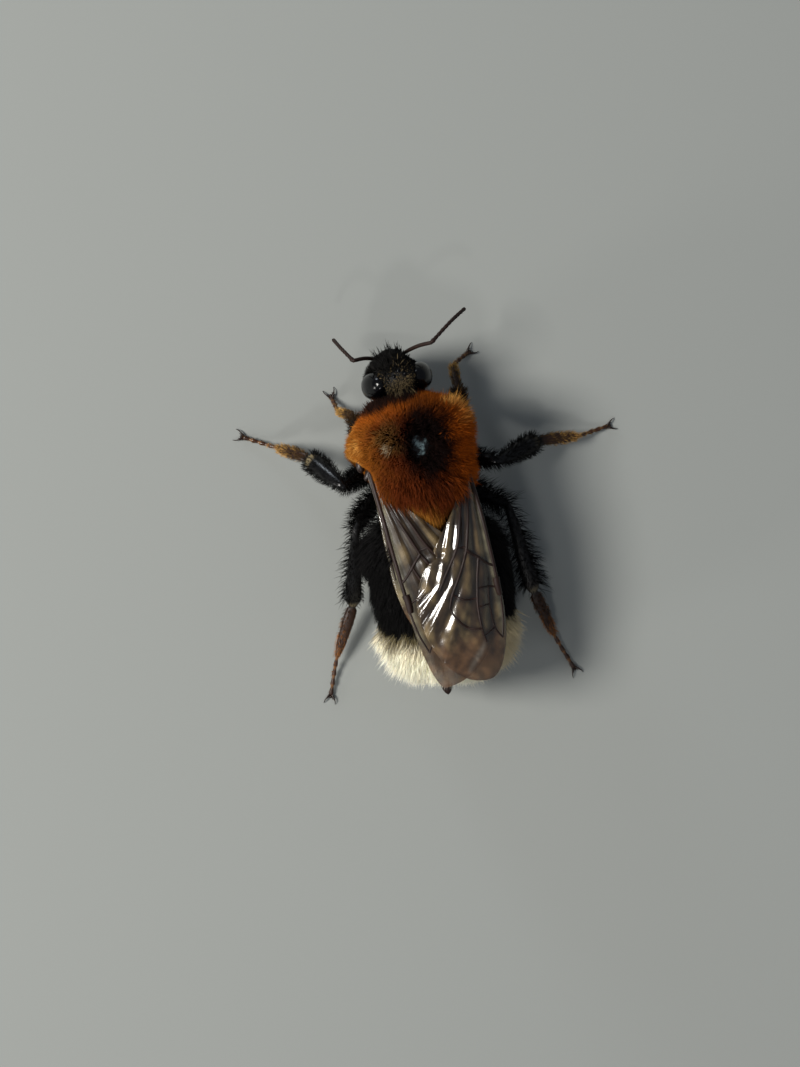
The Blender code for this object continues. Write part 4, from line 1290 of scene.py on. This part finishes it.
# Legs: black bristles, fringed along the hind tibia, and gold brushes on the basitarsi.
BRISTLES = {  # longest on each segment
    "fore": (0.5, 0.6, 0.4, 0.26, 0.13),
    "mid": (0.5, 0.5, 0.36, 0.26, 0.13),
    "hind": (0.5, 0.8, 0.75, 0.26, 0.13),
}
found = []
for i, leg in enumerate(STANCES):
    limb = new_object("limb", *legs[leg])
    limb_arrays = arrays(limb.data)
    bpy.data.objects.remove(limb)
    _, normals, triangles = limb_arrays
    s = leg_places[leg][triangles, 0].mean(1)
    weight = np.where(s < 1, 0.4, 1.0) * np.where(s > 4, 0.5, 1.0) * np.where((s > 3) & (s < 4), 1.4, 1.0)
    weight *= np.where(np.abs(s - 2.97) < 0.07, 0.2, 1.0)
    if leg == "left_mid":  # worn along the ridge, where the shell shines through
        weight *= np.where((s > 1.4) & (s < 2.95) & (normals[triangles, 2].mean(1) > 0.5), 0.3, 1.0)
    roots, normals, spots = scatter(*limb_arrays, weight, TUFTS["leg"], leg_places[leg])
    joints = np.array(leg_joints(leg))
    s = spots[:, 0]
    segment = np.clip(s.astype(int), 0, 4)
    along = unit(joints[segment + 1] - joints[segment])
    edge = np.abs(np.cos(2 * np.pi * spots[:, 1]))
    longest = np.array(BRISTLES[leg.split("_")[1]])[segment]
    lean = np.array((0.6, 0.8, 0.8, 1.8, 1.6))[segment]
    fringed = np.where((segment == 2) & ("hind" in leg), 0.25 + 0.75 * edge**3, 0.7 + 0.3 * edge)
    if leg == "left_hind":  # worn short on the side towards the body
        fringed *= np.where((segment > 0) & (normals[:, 0] < 0), 0.4, 1.0)
    if leg == "right_hind":
        fringed *= np.where((segment > 0) & (segment < 3), 1.2, 1.0)
    ways = unit(normals + along * lean[:, None] + 0.25 * seeds.normal(size=roots.shape))
    lengths = longest * fringed * seeds.uniform(0.5, 1.0, len(roots))
    tints = mix(linear("0b0a09"), linear("3f2c17"), ease((s - 2.3) / 0.7) * ("fore" in leg))
    golden = 1.7 * (s - 3.4) + 0.5 * edge + 0.5 * ripple(roots, 0.45)
    golden = ease(golden) * (1 - 0.8 * ease((s - 4.2) / 0.3))
    gold = 0.35 * seeds.random(len(roots)) + 0.65 * golden
    gold = mix(linear("22160b"), linear("b06f33" if "hind" in leg else "cf9f55"), gold**1.7)
    tints = np.where(s[:, None] > 3.02, gold, tints) * seeds.uniform(0.7, 1.3, (len(roots), 1))
    widths = np.where(s > 3.02, 0.02, 0.03)
    strip = np.stack([(i + 0.02 + 0.96 * s / 5) / 6, spots[:, 1]], -1)
    found.append((roots, normals, ways, lengths, widths, tints, strip))
grow("leg_coat", *[np.concatenate(parts) for parts in zip(*found)], bend=0.08)

# ------------------------------------------------------------------ stage
# A plain pale floor, four soft lamps, the largest on the bee's left, and a camera that
# looks down on the bee, leaning a little from its left side.

FLOOR_HALF = 400
pale = new_material("matt pale floor", Base_Color=rgba("8b8e8b"), Roughness=0.8)[0]
corners = np.array(((-1, -1, 0), (1, -1, 0), (1, 1, 0), (-1, 1, 0))) * FLOOR_HALF
floor = new_object("floor", corners, [(0, 1, 2, 3)], pale)
plain_mesh(floor).transform(TO_FRAME)


def aim(obj, place, target, up=None):
    """Puts a lamp or a camera at a place in millimetres, looking at a target."""
    back = unit(np.subtract(place, target))
    if up is None:
        turn = Vector(back).to_track_quat("Z", "Y").to_matrix()
    else:
        right = unit(np.cross(up, back))
        turn = Matrix(np.stack([right, np.cross(back, right), back], 1).tolist())
    obj.matrix_world = Matrix.Translation(TO_FRAME @ Vector(place)) @ turn.to_4x4()


def softbox(name, place, size, watts, tint):
    lamp = bpy.data.lights.new(name, "AREA")
    lamp.shape, lamp.size, lamp.energy, lamp.color = "DISK", size * MM, watts, tint
    aim(shown(name, lamp), place, (0, 3, 3))


softbox("key", (165, -28, 185), 80, 0.76, (1.0, 0.97, 0.92))
softbox("second", (60, 150, 190), 24, 0.08, (1.0, 0.98, 0.95))
softbox("front", (95, -218, 62), 60, 0.11, (0.85, 0.93, 1.0))
softbox("low", (235, 60, 60), 60, 0.13, (1.0, 0.97, 0.92))

world = bpy.data.worlds.new("studio")
world.use_nodes = True
world.node_tree.nodes["Background"].inputs["Color"].default_value = (0.8, 0.88, 1.0, 1.0)
world.node_tree.nodes["Background"].inputs["Strength"].default_value = 0.22
bpy.context.scene.world = world

# The bee's axis leans 9.3 degrees to the left of the frame's upright.
ROLL, LEAN, DISTANCE, VIEW_HEIGHT = math.radians(9.3), math.radians(6), 190.0, 45.54
TARGET = np.array((1.03, 3.1, 4.4))
up = np.array((-math.sin(ROLL), -math.cos(ROLL), 0))
left = np.array((math.cos(ROLL), -math.sin(ROLL), 0))
camera = bpy.data.cameras.new("camera")
camera.sensor_width = 36
camera.lens = camera.sensor_width * DISTANCE / VIEW_HEIGHT
camera.clip_start, camera.clip_end = 10 * MM, 2000 * MM
eye_point = shown("camera", camera)
back = np.array((0, 0, 1)) * math.cos(LEAN) + left * math.sin(LEAN)
aim(eye_point, TARGET + DISTANCE * back, TARGET, up)
bpy.context.scene.camera = eye_point
bpy.context.scene.view_settings.view_transform = "Standard"

bpy.context.view_layer.update()
